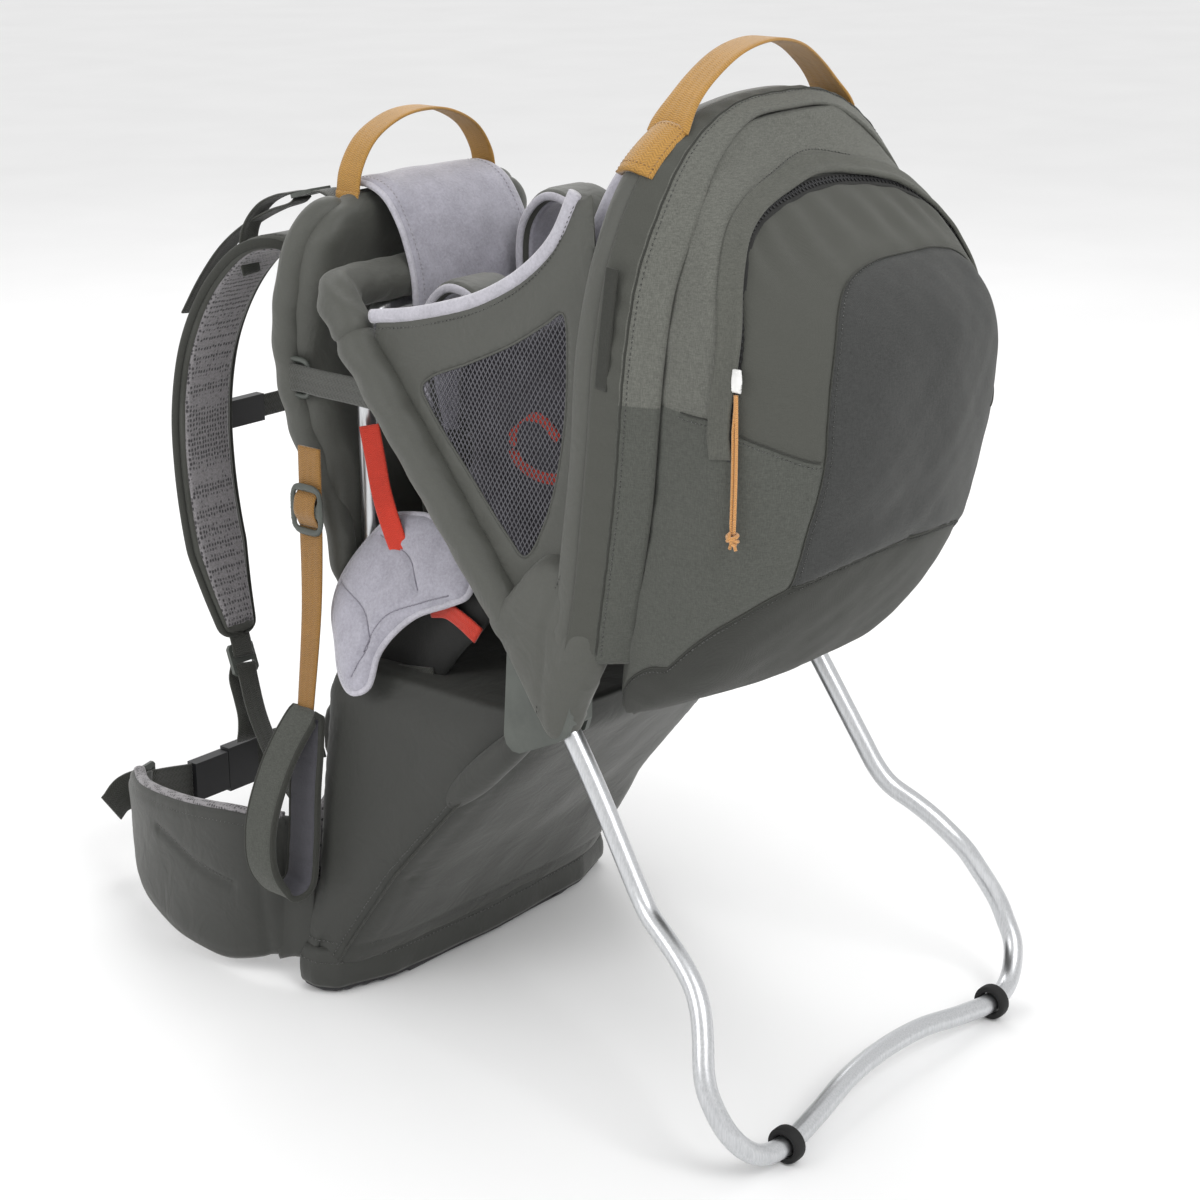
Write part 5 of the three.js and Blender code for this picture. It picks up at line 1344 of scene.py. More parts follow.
PLAN = {"left": [(-172, 36), (-190, 72), (-194, 115), (-188, 165), (-170, 225), (-134, 279)], "right": [(172, 36), (188, 78), (187, 122), (172, 175), (139, 226), (90, 268)]}
ZB = [(0, 26), (0.25, 8), (0.5, 10), (0.75, 22), (0.92, 38), (1, 56)]
ZT = [(0, 148), (0.2, 150), (0.5, 138), (0.8, 126), (0.94, 124), (1, 108)]
for sd, sg in SIDES:
    pl = path([(x, y, 0) for x, y in PLAN[sd]], n=84)
    t = np.linspace(0, 1, len(pl))
    zb_, zt_ = interp(ZB, t), interp(ZT, t)
    k = np.ones(9) / 9
    sm = lambda a: np.convolve(np.pad(a, 4, "edge"), k, "valid")
    zb_, zt_ = sm(zb_), sm(zt_)
    rr = 16 * np.sqrt(np.clip(1 - np.clip(1 - (1 - t) * len(pl) * 3.4 / 16, 0, 1) ** 2, 0, 1)) - 16
    nv = 40
    s = np.linspace(0, 1, nv + 1)[None, :]
    Z = (zb_ - rr)[:, None] * (1 - s) + (zt_ + rr)[:, None] * s
    G = np.stack([np.repeat(pl[:, 0:1], nv + 1, 1), np.repeat(pl[:, 1:2], nv + 1, 1), Z], -1)
    d, lu_, lv_ = edge_d(G)
    S2 = np.stack([lu_, G[..., 2]], -1)
    dart = seg_dist(S2, [(52, 82), (95, 90), (130, 100), (152, 103)])
    root = seg_dist(S2, [(22, 20), (26, 80), (22, 145)])
    top = crown(d, 7.2, 15, 1.2) - groove(dart, 2.6, 4.0) - groove(root, 2.0, 4.0) + 0.8 * wob(G, 70, 31) * np.clip(d / 20, 0, 1) - groove(np.abs(d - 8), 0.9, 2.2)
    bot = crown(d, 6.4, 13, 1.2) - groove(np.abs(d - 8), 0.7, 2.2) + 0.4 * wob(G, 50, 32)
    V, F, UV, Nn = slab(G, top, bot)
    out = np.sign((Nn[40, 20] * np.array([sg, 0, 0])).sum())
    if out < 0:
        V, F, UV, Nn = slab(G, bot, top)
    V, F, UV = outward(V, F, UV)
    hw = mk(f"hip_wing_{sd}_cover", V, F, SATIN_DK, f"hip_belt_{sd}", "satin_cloth", f"hip_wing_{sd}", luv=UV)
    hold_ = np.concatenate([np.minimum(np.minimum(dart, root), np.abs(d - 8)).ravel()] * 2)
    swell(hw, lambda W_, hold_=hold_: hold_, cap=3.0, pin=1.9)
    # spacer mesh on the wearer's side, turned over the top edge
    inn = -np.sign((Nn[40, 20] * np.array([sg, 0, 0])).sum())
    off = 6.8
    Pm = G[3:-5, 6:-1] + Nn[3:-5, 6:-1] * inn * off * (0.2 + 0.8 * np.clip(d[3:-5, 6:-1] / 12, 0, 1))[..., None]
    dm, _, _ = edge_d(Pm)
    V, F, UV, _ = slab(Pm, crown(dm, 1.6, 5, 0.5), crown(dm, 1.6, 5, 0.5))
    V, F, UV = outward(V, F, UV)
    mk(f"hip_wing_{sd}_mesh", V, F, SPACER, f"hip_belt_{sd}", "spacer_mesh", luv=UV)
    lip = G[2:-6, -1] + Nn[2:-6, -1] * inn * 2.4
    lip = lip + np.array([0, 0, -0.6])
    Tl, Nl, Bl = sided(lip, (0, 0, 1))
    V, F, UV = outward(*sweep(lip, circ(1, 14) * np.array([3.0, 5.0]), Nl, Bl))
    mk(f"hip_wing_{sd}_lip", V, F, SPACER, f"hip_belt_{sd}", "spacer_mesh", luv=UV)
    gn = G + Nn * (-inn) * (top - 0.2)[..., None]
    row = gn[4:-6, -4]
    stitches(f"stitch_hip_{sd}", row, Nn[4:-6, -4] * -inn, f"hip_belt_{sd}", pitch=4.5)
    dq = np.array([(52, 82), (95, 90), (130, 100), (152, 103)], float)
    dl = resample(cr(dq), step=3)
    ii = np.interp(dl[:, 0], lu_[:, 20], np.arange(len(pl)))
    pz = np.stack([np.interp(ii, np.arange(len(pl)), pl[:, 0]), np.interp(ii, np.arange(len(pl)), pl[:, 1]), dl[:, 1] + 4], 1)
    nz = unit(np.stack([np.interp(ii, np.arange(len(pl)), Nn[:, 20, k2]) for k2 in range(3)], 1)) * -inn
    stitches(f"stitch_dart_{sd}", pz + nz * 6.9, nz, f"hip_belt_{sd}", pitch=4.2)

for sd, sg in SIDES:
    A_ = [(sg * 168, 14, 26), (sg * 172, 24, 24), (sg * 175, 36, 22), (sg * 179.5, 47, 18)]
    B_ = [(sg * 166, 14, 146), (sg * 170, 24, 148), (sg * 173.5, 36, 148), (sg * 178.5, 47, 149)]
    Gb = ruled(cr(A_), cr(B_), 12, 30)
    db, _, _ = edge_d(Gb, "v")
    V, F, UV, _ = slab(Gb, crown(db, 4.6, 12, 1.0) - groove(np.abs(Gb[..., 1] - 30), 1.2, 2.0), crown(db, 4.0, 12, 1.0))
    V, F, UV = outward(V, F, UV)
    hb_ = mk(f"hip_root_{sd}", V, F, SATIN_DK, None, "satin_cloth", luv=UV)
    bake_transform(hb_)
wl = path([(-134, 279, 86), (-127, 287.5, 82), (-112, 298, 78), (-98, 303.5, 75)], 3)
strap("belt_webbing_left_root", wl, 38, 2.1, (0, 0, 1), OLIVE_WEB, "hip_belt_left", "olive_webbing", "belt_webbing_left")
wl2 = path([(-103, 303.0, 75), (-97, 306.0, 74.5), (-90, 306.6, 73), (-70, 310.5, 68), (-43.5, 314, 62), (-38, 314.5, 62)], 3)
strap("belt_webbing_left_run", wl2, 38, 2.0, (0, 0, 1), OLIVE_WEB, "hip_belt_left", "olive_webbing")
wl3 = path([(-89, 312.2, 73), (-97, 312.6, 75), (-107, 315.5, 76.5), (-120, 318.6, 73), (-133, 318.6, 64)], 2.5)
strap("belt_webbing_left_tail", wl3, 36, 2.0, (0, 0, 1), OLIVE_WEB, "hip_belt_left", "olive_webbing")
wr = path([(88, 270, 77), (85, 274, 76), (72, 292, 72), (58, 308, 66), (44.5, 314, 62), (38, 314.5, 62)], 3)
strap("belt_webbing_right_run", wr, 38, 2.1, (0, 0, 1), OLIVE_WEB, "hip_belt_right", "olive_webbing", "belt_webbing_right")
wr2 = path([(48, 317.0, 63), (58, 312.5, 66), (70, 300, 71), (80, 287, 74), (90, 276, 70)], 3)
strap("belt_webbing_right_tail", wr2, 36, 2.0, (0, 0, 1), OLIVE_WEB, "hip_belt_right", "olive_webbing")

# ------------------------------------------------------------------ pads laid along a path
def pad(name, pts, hw, T1, T2, side, mat, body, slot=None, rep=(), rc=12, nv=16, step=4.0, R=10, extra=None, edge=1.0):
    """crowned pad: centre path pts (3-D), half width hw(t) or number along side, heights T1/T2 on its two faces"""
    P = path(pts, step)
    m = len(P)
    T, N, B = sided(P, side)
    L = np.concatenate([[0], np.cumsum(np.linalg.norm(np.diff(P, axis=0), axis=1))])
    t = L / L[-1]
    w = np.array([hw(x) if callable(hw) else hw for x in t], float)
    de = np.minimum(L, L[-1] - L)
    w = w - rc + np.sqrt(np.clip(rc * rc - (rc - np.minimum(de, rc)) ** 2, 0, None))
    w = np.maximum(w, 2.0)
    s = np.linspace(-1, 1, nv + 1)
    G = P[:, None] + (s[None, :] * w[:, None])[..., None] * N[:, None]
    d, lu_, lv_ = edge_d(G)
    X = (L[:, None] + 0 * s[None, :], s[None, :] * w[:, None])
    top = crown(d, T1, R, edge)
    bot = crown(d, T2, R, edge)
    if extra is not None:
        a_, b_ = extra(X[0], X[1], d, G)
        top = top + a_
        bot = bot + b_
    V, F, UV, Nn = slab(G, top, bot)
    V, F, UV = outward(V, F, UV)
    ob = mk(name, V, F, mat, body, slot, rep, luv=UV)
    return ob, dict(P=P, G=G, N=Nn, d=d, L=L, w=w, T=T, side=N, top=top, bot=bot)


def edge_binding(name, G, r1, r2, mat, body, side=(1, 0, 0), ends=False, slot=None):
    lp = np.vstack([G[:, 0], G[-1, 1:-1], G[::-1, -1], G[0, ::-1][1:-1]])
    lp = resample(lp, step=3.0, closed=True)
    k = np.ones(3) / 3
    pad_ = np.vstack([lp[-1:], lp, lp[:1]])
    lp = np.stack([np.convolve(pad_[:, i], k, "valid") for i in range(3)], 1)
    T, N, B = sided(lp, side, True)
    V, F, UV = outward(*sweep(lp, circ(1, 12) * np.array([r1, r2]), N, B, True))
    return mk(name, V, F, mat, body, slot, luv=UV)


# drool pad over the front bar
DP = [(0, 56, 653.5), (0, 30, 658), (0, 8, 650), (0, -8, 630), (0, -17, 609), (0, -22.5, 588), (0, -24, 560), (0, -24, 528)]
ob, g = pad("drool_pad_fleece", DP, 70, 4.2, 4.0, (1, 0, 0), FLEECE, "carrier", "grey_fleece", "drool_pad", rc=16, nv=40, R=9,
            extra=lambda u, v, d, G: (-groove(np.abs(d - 9), 1.8, 2.2) + 0.8 * wob(G, 55, 5) * np.clip(d / 12, 0, 1), -groove(np.abs(d - 9), 1.6, 2.2) + 0.5 * wob(G, 50, 6) * np.clip(d / 12, 0, 1)))
swell(ob, lambda W_: np.where(np.abs(np.abs(W_[:, 0]) - 61) < 2.4, 0.0, 9.0), cap=3.5)
edge_binding("drool_pad_edge", g["G"], 2.6, 2.6, FLEECE_BIND, "carrier", side=(1, 0, 0))
for k_, row in (("a", 2), ("b", -3)):
    col = g["G"][3:-3, row] + g["N"][3:-3, row] * (g["top"][3:-3, row] + 0.0)[:, None]
    stitches(f"stitch_drool_{k_}", col, g["N"][3:-3, row], "carrier", THREAD_LT, pitch=4)

# child seat, quilted
SEATP = [(0, -255.5, 590), (0, -247, 505), (0, -238, 416), (0, -207.5, 354.5), (0, -150, 338.5), (0, -88, 341), (0, -55, 369), (0, -38, 440)]
ob, g = pad("child_seat_cushion", SEATP, 84, 6.8, 6.6, (1, 0, 0), CHARCOAL, "seat", "charcoal_cloth", "child_seat", rc=18, nv=40, R=16, step=5,
            extra=lambda u, v, d, G: (-groove(np.abs((u + 10) % 48 - 24), 1.8, 3) - groove(np.abs(np.abs(v) - 38), 1.5, 3) + 0.5 * wob(G, 60, 8), -groove(np.abs(np.abs(v) - 38), 1.2, 3)))
swell(ob, lambda W_: np.minimum(np.abs(np.abs(W_[:, 0]) - 38), np.abs(np.abs(W_[:, 0]) - 83)), cap=5.0, pin=2.0)
edge_binding("child_seat_edge", g["G"], 3.0, 3.0, BINDING, "seat")

# soft side walls of the seat, seen through the netting
for sd, sg in SIDES:
    ob = pillow(f"seat_side_{sd}", cr(np.array([(-248, 592), (-243, 500), (-236, 425), (-205, 366), (-150, 346), (-92, 350), (-66, 372), (-88, 418), (-112, 470), (-100, 520), (-120, 556), (-165, 566), (-205, 585)], float), True, 8),
                lambda u, v, h, sg=sg: np.stack([sg * (93 + 0.06 * (v - 340) + h), u, v], -1),
                lambda d, X: crown(d, 5.5, 16, 1) - groove(np.abs((X[:, 1] + 0.5 * X[:, 0]) % 52 - 26), 1.6, 3) + 0.7 * np.sin(X[:, 0] / 13 + X[:, 1] / 19) * np.clip(d / 14, 0, 1),
                lambda d, X: crown(d, 5.0, 16, 1), CHARCOAL, "seat", "charcoal_cloth", step=5)

# seat wings: quilted fleece crescents flaring out of the seat
CRES = np.array([(-65, 418), (-49, 413), (-14, 381), (13, 346), (23, 319), (21, 293), (17, 264), (6, 253), (-12, 262), (-24, 291), (-40, 311), (-68, 334), (-104, 351), (-126, 364), (-132, 384), (-118, 406), (-92, 420)], float)
QS1 = np.array([(13, 345), (-15, 325), (-19, 302), (2, 266)], float)
QS2 = np.array([(-37, 394), (-69, 380), (-76, 355)], float)
QS3 = np.array([(-12, 290), (-19, 302), (-40, 326), (-79, 346), (-108, 358)], float)


def wing_x(v):
    return 108 + 0.5 * (392 - v)


def to_wing(C):
    Q_ = C.copy()
    for _ in range(8):
        dx = wing_x(Q_[:, 1]) - 125
        Q_ = C + dx[:, None] / 30 * np.array([-31.0, 15.0]) * 0.999
    return Q_


CR2, QS1, QS2, QS3 = (to_wing(c_) for c_ in (CRES, QS1, QS2, QS3))
for sd, sg in SIDES:
    wl_ = cr(CR2, True, 8)
    mid_line = [(8, 330), (-30, 372), (-75, 388), (-108, 368)]
    ob = pillow(f"seat_wing_{sd}_fleece", wl_, lambda u, v, h, sg=sg: np.stack([sg * (wing_x(v) + 0.894 * h), u, v + 0.447 * h], -1),
                lambda d, X: crown(d, 7.5, 16, 1.2) - groove(seg_dist(X, cr(QS1)), 2.8, 2.6) - groove(seg_dist(X, cr(QS2)), 2.4, 2.4) - groove(seg_dist(X, cr(QS3)), 2.2, 2.4) + 0.6 * np.sin(X[:, 0] / 7 + X[:, 1] / 12) * np.clip((d - 6) / 8, 0, 1),
                lambda d, X: crown(d, 5.2, 14, 1.2), FLEECE, "seat", "grey_fleece", f"seat_wing_{sd}", step=2.6)
    swell(ob, lambda W_: np.minimum.reduce([seg_dist(W_[:, 1:], cr(q_)) for q_ in (QS1, QS2, QS3)]), cap=4.0)
    for k_, q_ in (("a", QS1), ("b", QS2), ("c", QS3)):
        e = resample(cr(q_), step=2)
        e3 = np.stack([sg * (wing_x(e[:, 1]) + 0.894 * 6.0), e[:, 0], e[:, 1] + 0.447 * 6.0], 1)
        drape_row(f"seat_wing_seam_{sd}_{k_}", e3, ob, np.array([sg * 0.894, 0, 0.447]), SEAM_LIL, "seat")
    lp = resample(wl_, step=3, closed=True)
    P3 = np.stack([sg * wing_x(lp[:, 1]), lp[:, 0], lp[:, 1]], 1)
    T, N, B = sided(P3, (sg * 0.894, 0, 0.447), True)
    V, F, UV = outward(*sweep(P3, circ(1, 12) * np.array([2.6, 2.9]), N, B, True))
    mk(f"seat_wing_{sd}_edge", V, F, FLEECE_BIND, "seat", "grey_fleece", luv=UV)
    # side webbing of the child's harness
    rp = path([(sg * 116, -14, 478), (sg * 117, -21, 452), (sg * 118, -28, 425), (sg * 118.5, -40, 396), (sg * 118, -52, 372)], 3)
    strap(f"harness_side_webbing_{sd}", rp, 18, 2.0, (0.25 * sg, 0.9, 0.3), RED_WEB, "seat")
    rt = path([(sg * 118, -78, 340), (sg * 121, -98, 344), (sg * 122, -118, 338), (sg * 121, -132, 330)], 3)
    strap(f"harness_tab_{sd}", rt, 15, 2.2, (0, 0.3, 0.95), RED_WEB, "seat")
    # dark cloth flap under the wing, with a webbing strip sewn across it
    GP = np.array([(-100, 353), (-124, 363), (-136, 345), (-104, 306), (-78, 274), (-42, 249), (-9, 243), (2, 257), (-11, 290), (-31, 312), (-59, 334)], float)
    ob = pillow(f"seat_flap_{sd}", cr(GP, True, 6),
                lambda u, v, h, sg=sg: np.stack([sg * (112 + h), u, v], -1), lambda d, X: crown(d, 3.6, 10, 0.8) + 0.9 * np.sin(X[:, 0] / 9 + X[:, 1] / 13) * np.clip(d / 10, 0, 1), lambda d, X: crown(d, 2.5, 10, 0.8), DARK_CL, "carrier", "charcoal_cloth", step=4)
    gs = path([(sg * 117, -16, 272), (sg * 118.5, -45, 278), (sg * 117.5, -80, 283)], 3)
    strap(f"seat_flap_strip_{sd}", gs, 15, 1.8, (0, 0.15, 0.99), OLIVE_WEB, "carrier")

# child's harness pads: olive shell, fleece lining, pale bound edge
HP = [(-56, 520), (-42, 580), (-46, 622), (-70, 645), (-98, 638), (-114, 596), (-124, 540), (-150, 480)]
for sd, sg in SIDES:
    dz = -56 if sd == "left" else 0
    pts = [(sg * 58, y, z + dz) for y, z in HP]
    ob, g = pad(f"child_harness_pad_{sd}_shell", pts, 25, 6.0, 5.6, (1, 0, 0), SATIN, "seat", "satin_cloth", f"child_harness_pad_{sd}", rc=12, nv=16, R=8, step=3.5,
                extra=lambda u, v, d, G: (-groove(np.abs(d - 6.5), 1.0, 1.6) + 0.4 * wob(G, 30, 9), -groove(np.abs(d - 6.5), 1.0, 1.6)))
    nin = np.sign(((g["P"].mean(0) - g["P"][len(g["P"]) // 2]) * g["N"][len(g["P"]) // 2, 8]).sum())
    Gm = g["G"][2:-2, 2:-2] + g["N"][2:-2, 2:-2] * nin * 4.9
    dm, _, _ = edge_d(Gm)
    V, F, UV, _ = slab(Gm, crown(dm, 2.4, 5, 0.4), crown(dm, 2.0, 5, 0.4))
    V, F, UV = outward(V, F, UV)
    mk(f"child_harness_pad_{sd}_lining", V, F, FLEECE, "seat", "grey_fleece", luv=UV)
    edge_binding(f"child_harness_pad_{sd}_edge", g["G"], 2.2, 3.4, FLEECE_BIND, "seat")
    # webbing from the pads to the chest buckle, and down into the seat
    zz = 499
    cw = path([(sg * 20, -54, 499), (sg * 30, -54.5, 500), (sg * 44, -57, 502 + dz * 0.25), (sg * 58, -60, 507 + dz * 0.6)], 3)
    strap(f"chest_webbing_{sd}", cw, 20, 1.8, (0, 0, 1), OLIVE_WEB, "seat")
    sw_ = path([(sg * 58, -55, 524 + dz), (sg * 58, -62, 490 + dz), (sg * 60, -74, 440), (sg * 66, -84, 395), (sg * 74, -92, 358)], 3)
    strap(f"lap_webbing_{sd}", sw_, 22, 2.0, (1, 0, 0), OLIVE_WEB, "seat")
    bw = path([(sg * 58, -149, 482 + dz), (sg * 58, -175, 470 + dz * 0.6), (sg * 57, -215, 474), (sg * 56, -241, 480)], 3)
    strap(f"shoulder_anchor_webbing_{sd}", bw, 22, 2.0, (1, 0, 0), OLIVE_WEB, "seat")
U_ = path([(-109, -205, 497), (-108.5, -186, 510), (-108, -166, 507), (-107.5, -158, 490), (-107, -164, 472), (-106, -186, 464), (-106, -206, 466)], 3)
strap("harness_loop_red", U_, lambda t: 9, 2.0, (0, 0.25, 0.95), RED_WEB, "seat", section=lambda t: flat(9.0, 2.0))

# ------------------------------------------------------------------ wearer's harness
SSP = [(62, 92, 590), (67, 104, 603), (76, 133, 600), (80, 172, 568), (84, 203, 515), (86, 217, 455), (87, 217, 400), (88, 209, 345), (89, 195, 295), (90, 180, 254)]
for sd, sg in SIDES:
    pts = [(sg * x, y, z) for x, y, z in SSP]
    hw = lambda t: np.interp(t, [0, 0.12, 0.82, 1], [23, 30, 30, 17])
    ob, g = pad(f"shoulder_strap_{sd}_shell", pts, hw, 6.6, 6.2, (1, 0, 0), SATIN, "shoulder_harness", "satin_cloth", f"shoulder_strap_{sd}", rc=8, nv=20, R=11, step=4,
                extra=lambda u, v, d, G: (-groove(np.abs(d - 7), 1.0, 2.0) + 0.5 * wob(G, 40, 12), -groove(np.abs(d - 7), 0.8, 2.0)))
    m2 = len(g["P"]) // 2
    nin = np.sign((np.array([0, -1.0, 0]) * g["N"][m2, 10]).sum())
    Gm = g["G"][2:-2, 2:-2] + g["N"][2:-2, 2:-2] * nin * 5.6
    dm, _, _ = edge_d(Gm)
    V, F, UV, _ = slab(Gm, crown(dm, 2.2, 6, 0.4), crown(dm, 2.2, 6, 0.4))
    V, F, UV = outward(V, F, UV)
    mk(f"shoulder_strap_{sd}_mesh", V, F, SPACER, "shoulder_harness", "spacer_mesh", luv=UV)
    edge_binding(f"shoulder_strap_{sd}_edge", g["G"], 2.2, 4.2, BINDING, "shoulder_harness")
    for row in (3, -4):
        q = g["G"][4:-4, row] - g["N"][4:-4, row] * nin * (g["top"] if nin < 0 else g["bot"])[4:-4, row][:, None]
        stitches(f"stitch_ss_{sd}_{row}", q, -nin * g["N"][4:-4, row], "shoulder_harness", pitch=4.5)
    # webbing carrier along the outer face
    q = g["P"][len(g["P"]) // 2 - 4:-3] - g["N"][len(g["P"]) // 2 - 4:-3, 10] * nin * 7.3
    strap(f"strap_rail_{sd}", q, 20, 1.8, (1, 0, 0), OLIVE_WEB, "shoulder_harness")
    tab = path([(sg * 90, 181, 256), (sg * 91, 177, 247), (sg * 92, 174.5, 240), (sg * 92.5, 172, 236)], 2)
    strap(f"strap_end_tab_{sd}", tab, 22, 2.2, (1, 0, 0), OLIVE_WEB, "shoulder_harness")
    ll = path([(sg * x, y, z) for x, y, z in [(78, 92, 641), (78, 97, 637), (79, 120, 629), (81, 150, 614), (84, 176, 594), (88, 199, 566), (93, 219, 533)]], 3)
    lw = strap(f"load_lifter_run_{sd}", ll, 20, 2.0, (1, 0, 0), OLIVE_WEB, None, "olive_webbing", f"load_lifter_webbing_{sd}")
    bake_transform(lw)
    lt = path([(sg * x, y, z) for x, y, z in [(78, 96, 645), (79, 112, 642), (82, 132, 632), (86, 146, 612), (88, 148, 590), (87, 146, 574)]], 3)
    strap(f"load_lifter_tail_{sd}", lt, 20, 1.8, (1, 0, 0), OLIVE_WEB, "carrier")
    la = path([(sg * x, y, z) for x, y, z in [(78, 72, 648), (78, 62, 650), (78, 50, 646), (78, 40, 640)]], 3)
    strap(f"load_lifter_anchor_{sd}", la, 22, 2.2, (1, 0, 0), OLIVE_WEB, "carrier")
    lo_ = path([(sg * x, y, z) for x, y, z in [(92, 171, 230), (93, 169, 223), (94, 166, 216), (102, 148, 190), (114, 112, 158), (124, 72, 134), (127, 58, 127)]], 3)
    w2 = strap(f"lower_strap_run_{sd}", lo_, 20, 2.0, (0.95 * sg, 0.2, 0.3), OLIVE_WEB, None, "olive_webbing", f"lower_strap_webbing_{sd}")
    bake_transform(w2)
    lb = path([(sg * x, y, z) for x, y, z in [(93, 177, 226), (95, 178, 214), (98, 170, 198), (103, 160, 184), (106, 157, 172), (104, 160, 164)]], 3)
    strap(f"lower_strap_tail_{sd}", lb, 20, 1.8, (0.95 * sg, 0.2, 0.3), OLIVE_WEB, "shoulder_harness")
    cb = path([(sg * 128.5, 66, 508), (sg * 131.6, 58, 509), (sg * 132.5, 44, 509.5), (sg * 136, 20, 510), (sg * 142, -16, 512), (sg * 150, -54, 514)], 3)
    strap(f"compression_webbing_{sd}", cb, 22, 2.0, (0, 0, 1), OLIVE_WEB, "carrier")
    # sternum anchor loops
    al_ = path([(sg * 55, 222, 437), (sg * 68, 227.4, 437), (sg * 86, 228.6, 437), (sg * 104, 227.6, 437)], 3)
    strap(f"sternum_anchor_{sd}", al_, 20, 1.8, (0, 0, 1), OLIVE_WEB, "sternum")
strap("sternum_webbing", path([(-16, 223, 436), (20, 223.5, 436), (56, 222, 437)], 3), 20, 2.0, (0, 0, 1), OLIVE_WEB, "sternum", "olive_webbing", "sternum_strap")

# ------------------------------------------------------------------ stirrups
LOOPC = [(170, 246), (182, 230), (198, 196), (210, 150), (208, 112), (194, 92), (182, 98), (177, 130), (174, 180), (170, 226)]
for sd, sg in SIDES:
    body = f"stirrup_{sd}"
    st = path([(sg * 152, 17, 462), (sg * 153, 17, 400), (sg * 156, 17, 330), (sg * 166, 17, 253), (sg * 167, 17, 246)], 3)
    strap(f"stirrup_strap_{sd}_run", st, lambda t: 25 - 7 * max(0.0, (t - 0.35) / 0.65), 2.2, (0, 1, 0), OCHRE_DK, body, "ochre_webbing", f"stirrup_strap_{sd}")
    lc = cr([(x, 12 + (x - 170) * 0.45, z) for x, z in LOOPC], True, 16)
    lc = resample(lc, step=3.0, closed=True)
    lc[:, 0] *= sg
    T, N, B = sided(lc, (0.0, 1.0, 0.0), True)
    cen = lc.mean(0)
    outd = np.sign(((lc - cen) * B).sum())
    m = len(lc)
    i_ = np.arange(m)
    for nm, off, tk, mat_, sl, rp, q in (("outer", 1.6, 3.6, HEATHER, "heather_cloth", f"stirrup_loop_{sd}", 0.35), ("lining", -1.7, 4.0, LINING, "charcoal_cloth", (), 1.0)):
        base = lc + B * outd * off
        sec = np.array([puff(31 if nm == "outer" else 29, tk * (1 - (0.38 * q if nm == "lining" else 0.06) * math.exp(-((i % 6 - 3) / 0.8) ** 2)), 1.2, 14) for i in range(m)])
        V, F, UV = outward(*sweep(base, sec, N, B, True))
        ob = mk(f"stirrup_loop_{sd}_{nm}", V, F, mat_, body, sl, rp, luv=UV)
    for e in (-1, 1):
        ed = lc + N * e * 14.9
        V, F, UV = outward(*sweep(ed, circ(1, 12) * np.array([1.7, 3.4]), N, B, True))
        mk(f"stirrup_loop_{sd}_edge_{'a' if e < 0 else 'b'}", V, F, BINDING, body, luv=UV)
        stitches(f"stitch_loop_{sd}_{'a' if e < 0 else 'b'}", np.vstack([lc, lc[:1]]) + np.vstack([N, N[:1]]) * e * 11.4 + np.vstack([B, B[:1]]) * outd * 2.6, np.vstack([B, B[:1]]) * outd, body, pitch=4)

def ladder_lock(name, c, w, h, t, sg, body, rp):
    """moulded ladder-lock in the YZ plane: rounded frame, bar across"""
    a = np.arange(48) * 2 * np.pi / 48
    ol = np.stack([np.sign(np.cos(a)) * np.abs(np.cos(a)) ** 0.55 * w / 2, np.sign(np.sin(a)) * np.abs(np.sin(a)) ** 0.62 * h / 2], 1)
    def slot(cz, sw, sh):
        return np.stack([np.sign(np.cos(a)) * np.abs(np.cos(a)) ** 0.4 * sw / 2, cz + np.sign(np.sin(a)) * np.abs(np.sin(a)) ** 0.5 * sh / 2], 1)
    return pillow(name, ol, lambda u, v, hh: np.stack([sg * (c[0] + hh), c[1] + u, c[2] + v], -1), lambda d, X: crown(d, t / 2 + 0.3 * (np.abs(X[:, 1]) < 2), 2.2, 0.5), lambda d, X: crown(d, t / 2, 2.2, 0.5),
                  PLASTIC, body, "hardware_plastic", rp, step=1.6, holes=[slot(h * 0.235, w - 11, h * 0.25), slot(-h * 0.235, w - 11, h * 0.25)], bstep=1.4)


for sd, sg in SIDES:
    ladder_lock(f"stirrup_lock_{sd}", (157, 17, 412), 36, 42, 4.2, sg, f"stirrup_{sd}", f"stirrup_buckle_{sd}")
    wrapw = path([(sg * 153.6, 17, 431), (sg * 155.2, 17, 426), (sg * 158.6, 17, 421.6), (sg * 159.9, 17, 416), (sg * 160.3, 17, 412), (sg * 159.6, 17, 408), (sg * 157, 17, 403), (sg * 154.6, 17, 398)], 1.5)
    strap(f"stirrup_strap_{sd}_wrap", wrapw, 23, 1.6, (0, 1, 0), OCHRE_DK, f"stirrup_{sd}", "ochre_webbing")
    ladder_lock(f"compression_lock_{sd}", (129.5, 52, 509), 34, 34, 4.2, sg, "carrier", f"compression_buckle_{sd}")

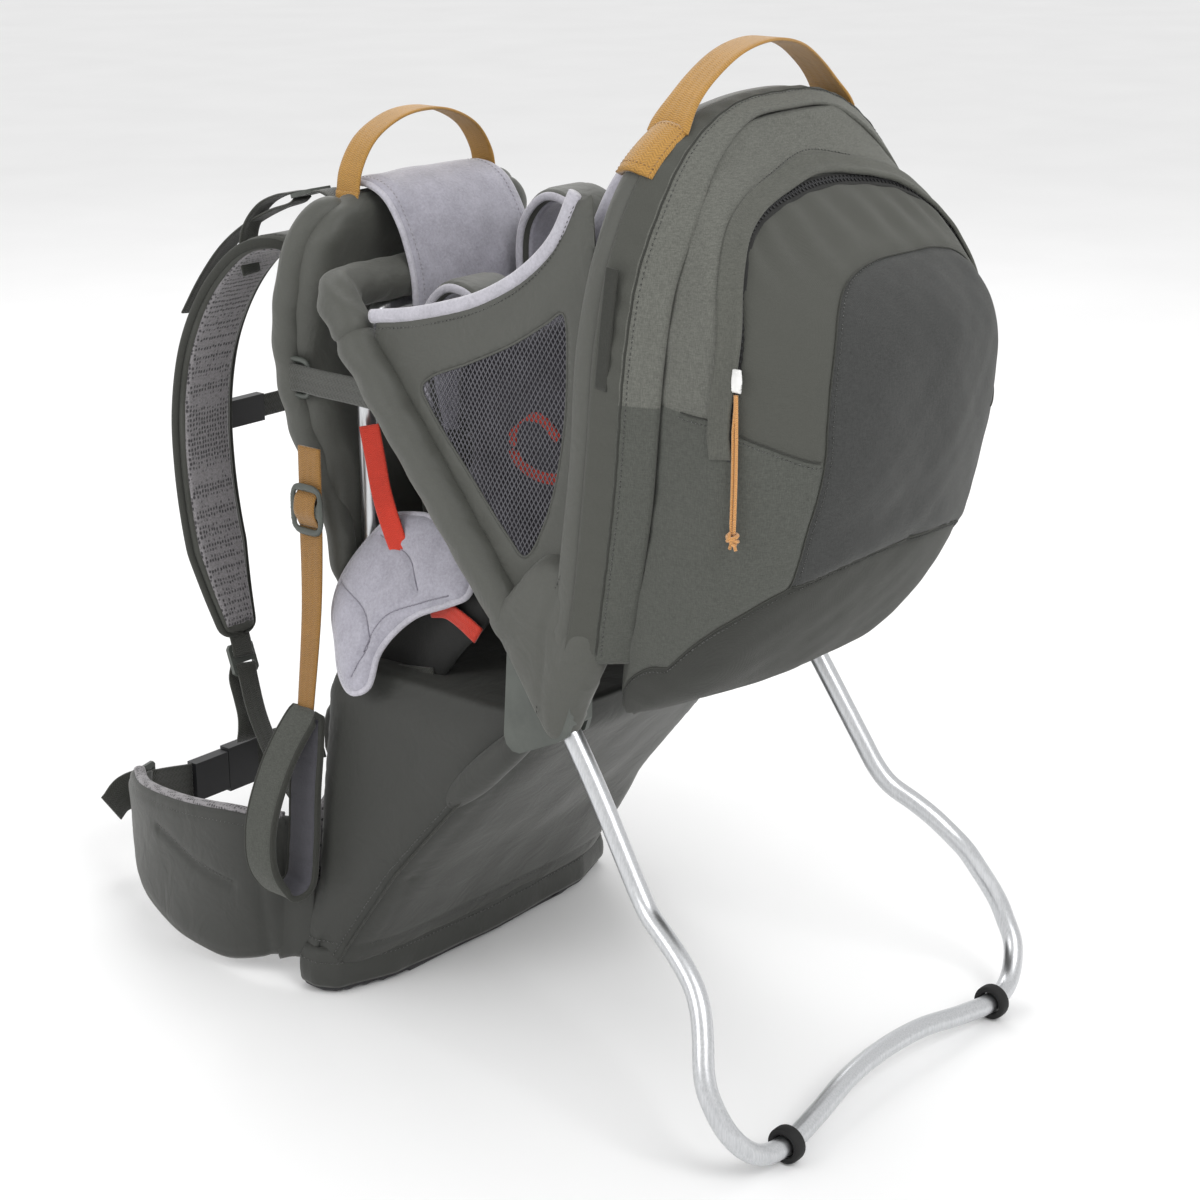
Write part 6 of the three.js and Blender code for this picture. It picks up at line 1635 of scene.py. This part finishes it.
# ------------------------------------------------------------------ CAD hardware left showing
def dress(nm, mat, bevel=0.6, seg=2):
    o = CAD[nm]["object"] if isinstance(CAD, dict) and isinstance(CAD.get(nm), dict) and "object" in CAD[nm] else bpy.data.objects[nm]
    o.data.materials.clear()
    o.data.materials.append(mat)
    if bevel:
        b = o.modifiers.new("soft_edge", "BEVEL")
        b.width = bevel / 1000
        b.segments = seg
        b.limit_method = "ANGLE"
        b.angle_limit = math.radians(35)
        b.harden_normals = False


for sd, sg in SIDES:
    dress(f"frame_hub_{sd}", PLASTIC, 1.2)
    dress(f"pivot_pin_{sd}", STEEL, 0.6)
    dress(f"load_lifter_buckle_{sd}", PLASTIC, 0.7)
    dress(f"lower_strap_buckle_{sd}", PLASTIC, 0.7)
dress("belt_triglide_left", PLASTIC, 0.6)
dress("belt_buckle_prongs", BLACK, 1.6, 3)
dress("belt_buckle_socket", BLACK, 1.6, 3)
dress("sternum_buckle", BLACK, 1.2, 3)
dress("child_chest_buckle", BLACK, 1.4, 3)

# ------------------------------------------------------------------ room
FLOORM = Mat("floor_paint", 0.9, spec=0.2)
_f = FLOORM.noise(FLOORM.obj, 3, 3)
FLOORM.finish(FLOORM.mix(FLOORM.ramp(_f, 0.3, 0.7), lin(246, 246, 246), lin(249, 249, 249)))
me = bpy.data.meshes.new("floor")
me.from_pydata([(-60, -60, -0.0005), (60, -60, -0.0005), (60, 60, -0.0005), (-60, 60, -0.0005)], [], [(0, 1, 2, 3)])
floor = bpy.data.objects.new("floor", me)
me.materials.append(FLOORM.m)
sc.collection.objects.link(floor)
world = bpy.data.worlds.new("studio")
sc.world = world
world.use_nodes = True
bg = world.node_tree.nodes["Background"]
bg.inputs["Color"].default_value = (1.0, 1.0, 1.0, 1)
bg.inputs["Strength"].default_value = 0.86


def area(name, loc, target, size, power):
    L_ = bpy.data.lights.new(name, "AREA")
    L_.energy = power
    L_.shape = "RECTANGLE"
    L_.size, L_.size_y = size
    o = bpy.data.objects.new(name, L_)
    o.location = loc
    o.rotation_euler = (Vector(target) - Vector(loc)).to_track_quat("-Z", "Y").to_euler()
    sc.collection.objects.link(o)


area("key", (-0.6, -2.4, 2.4), (0, 0, 0.4), (1.4, 1.4), 34)
area("fill", (-2.8, 0.6, 1.8), (0, 0, 0.35), (1.5, 1.5), 20)
area("rim", (1.4, 1.4, 2.6), (0, 0, 0.5), (1.6, 1.6), 26)
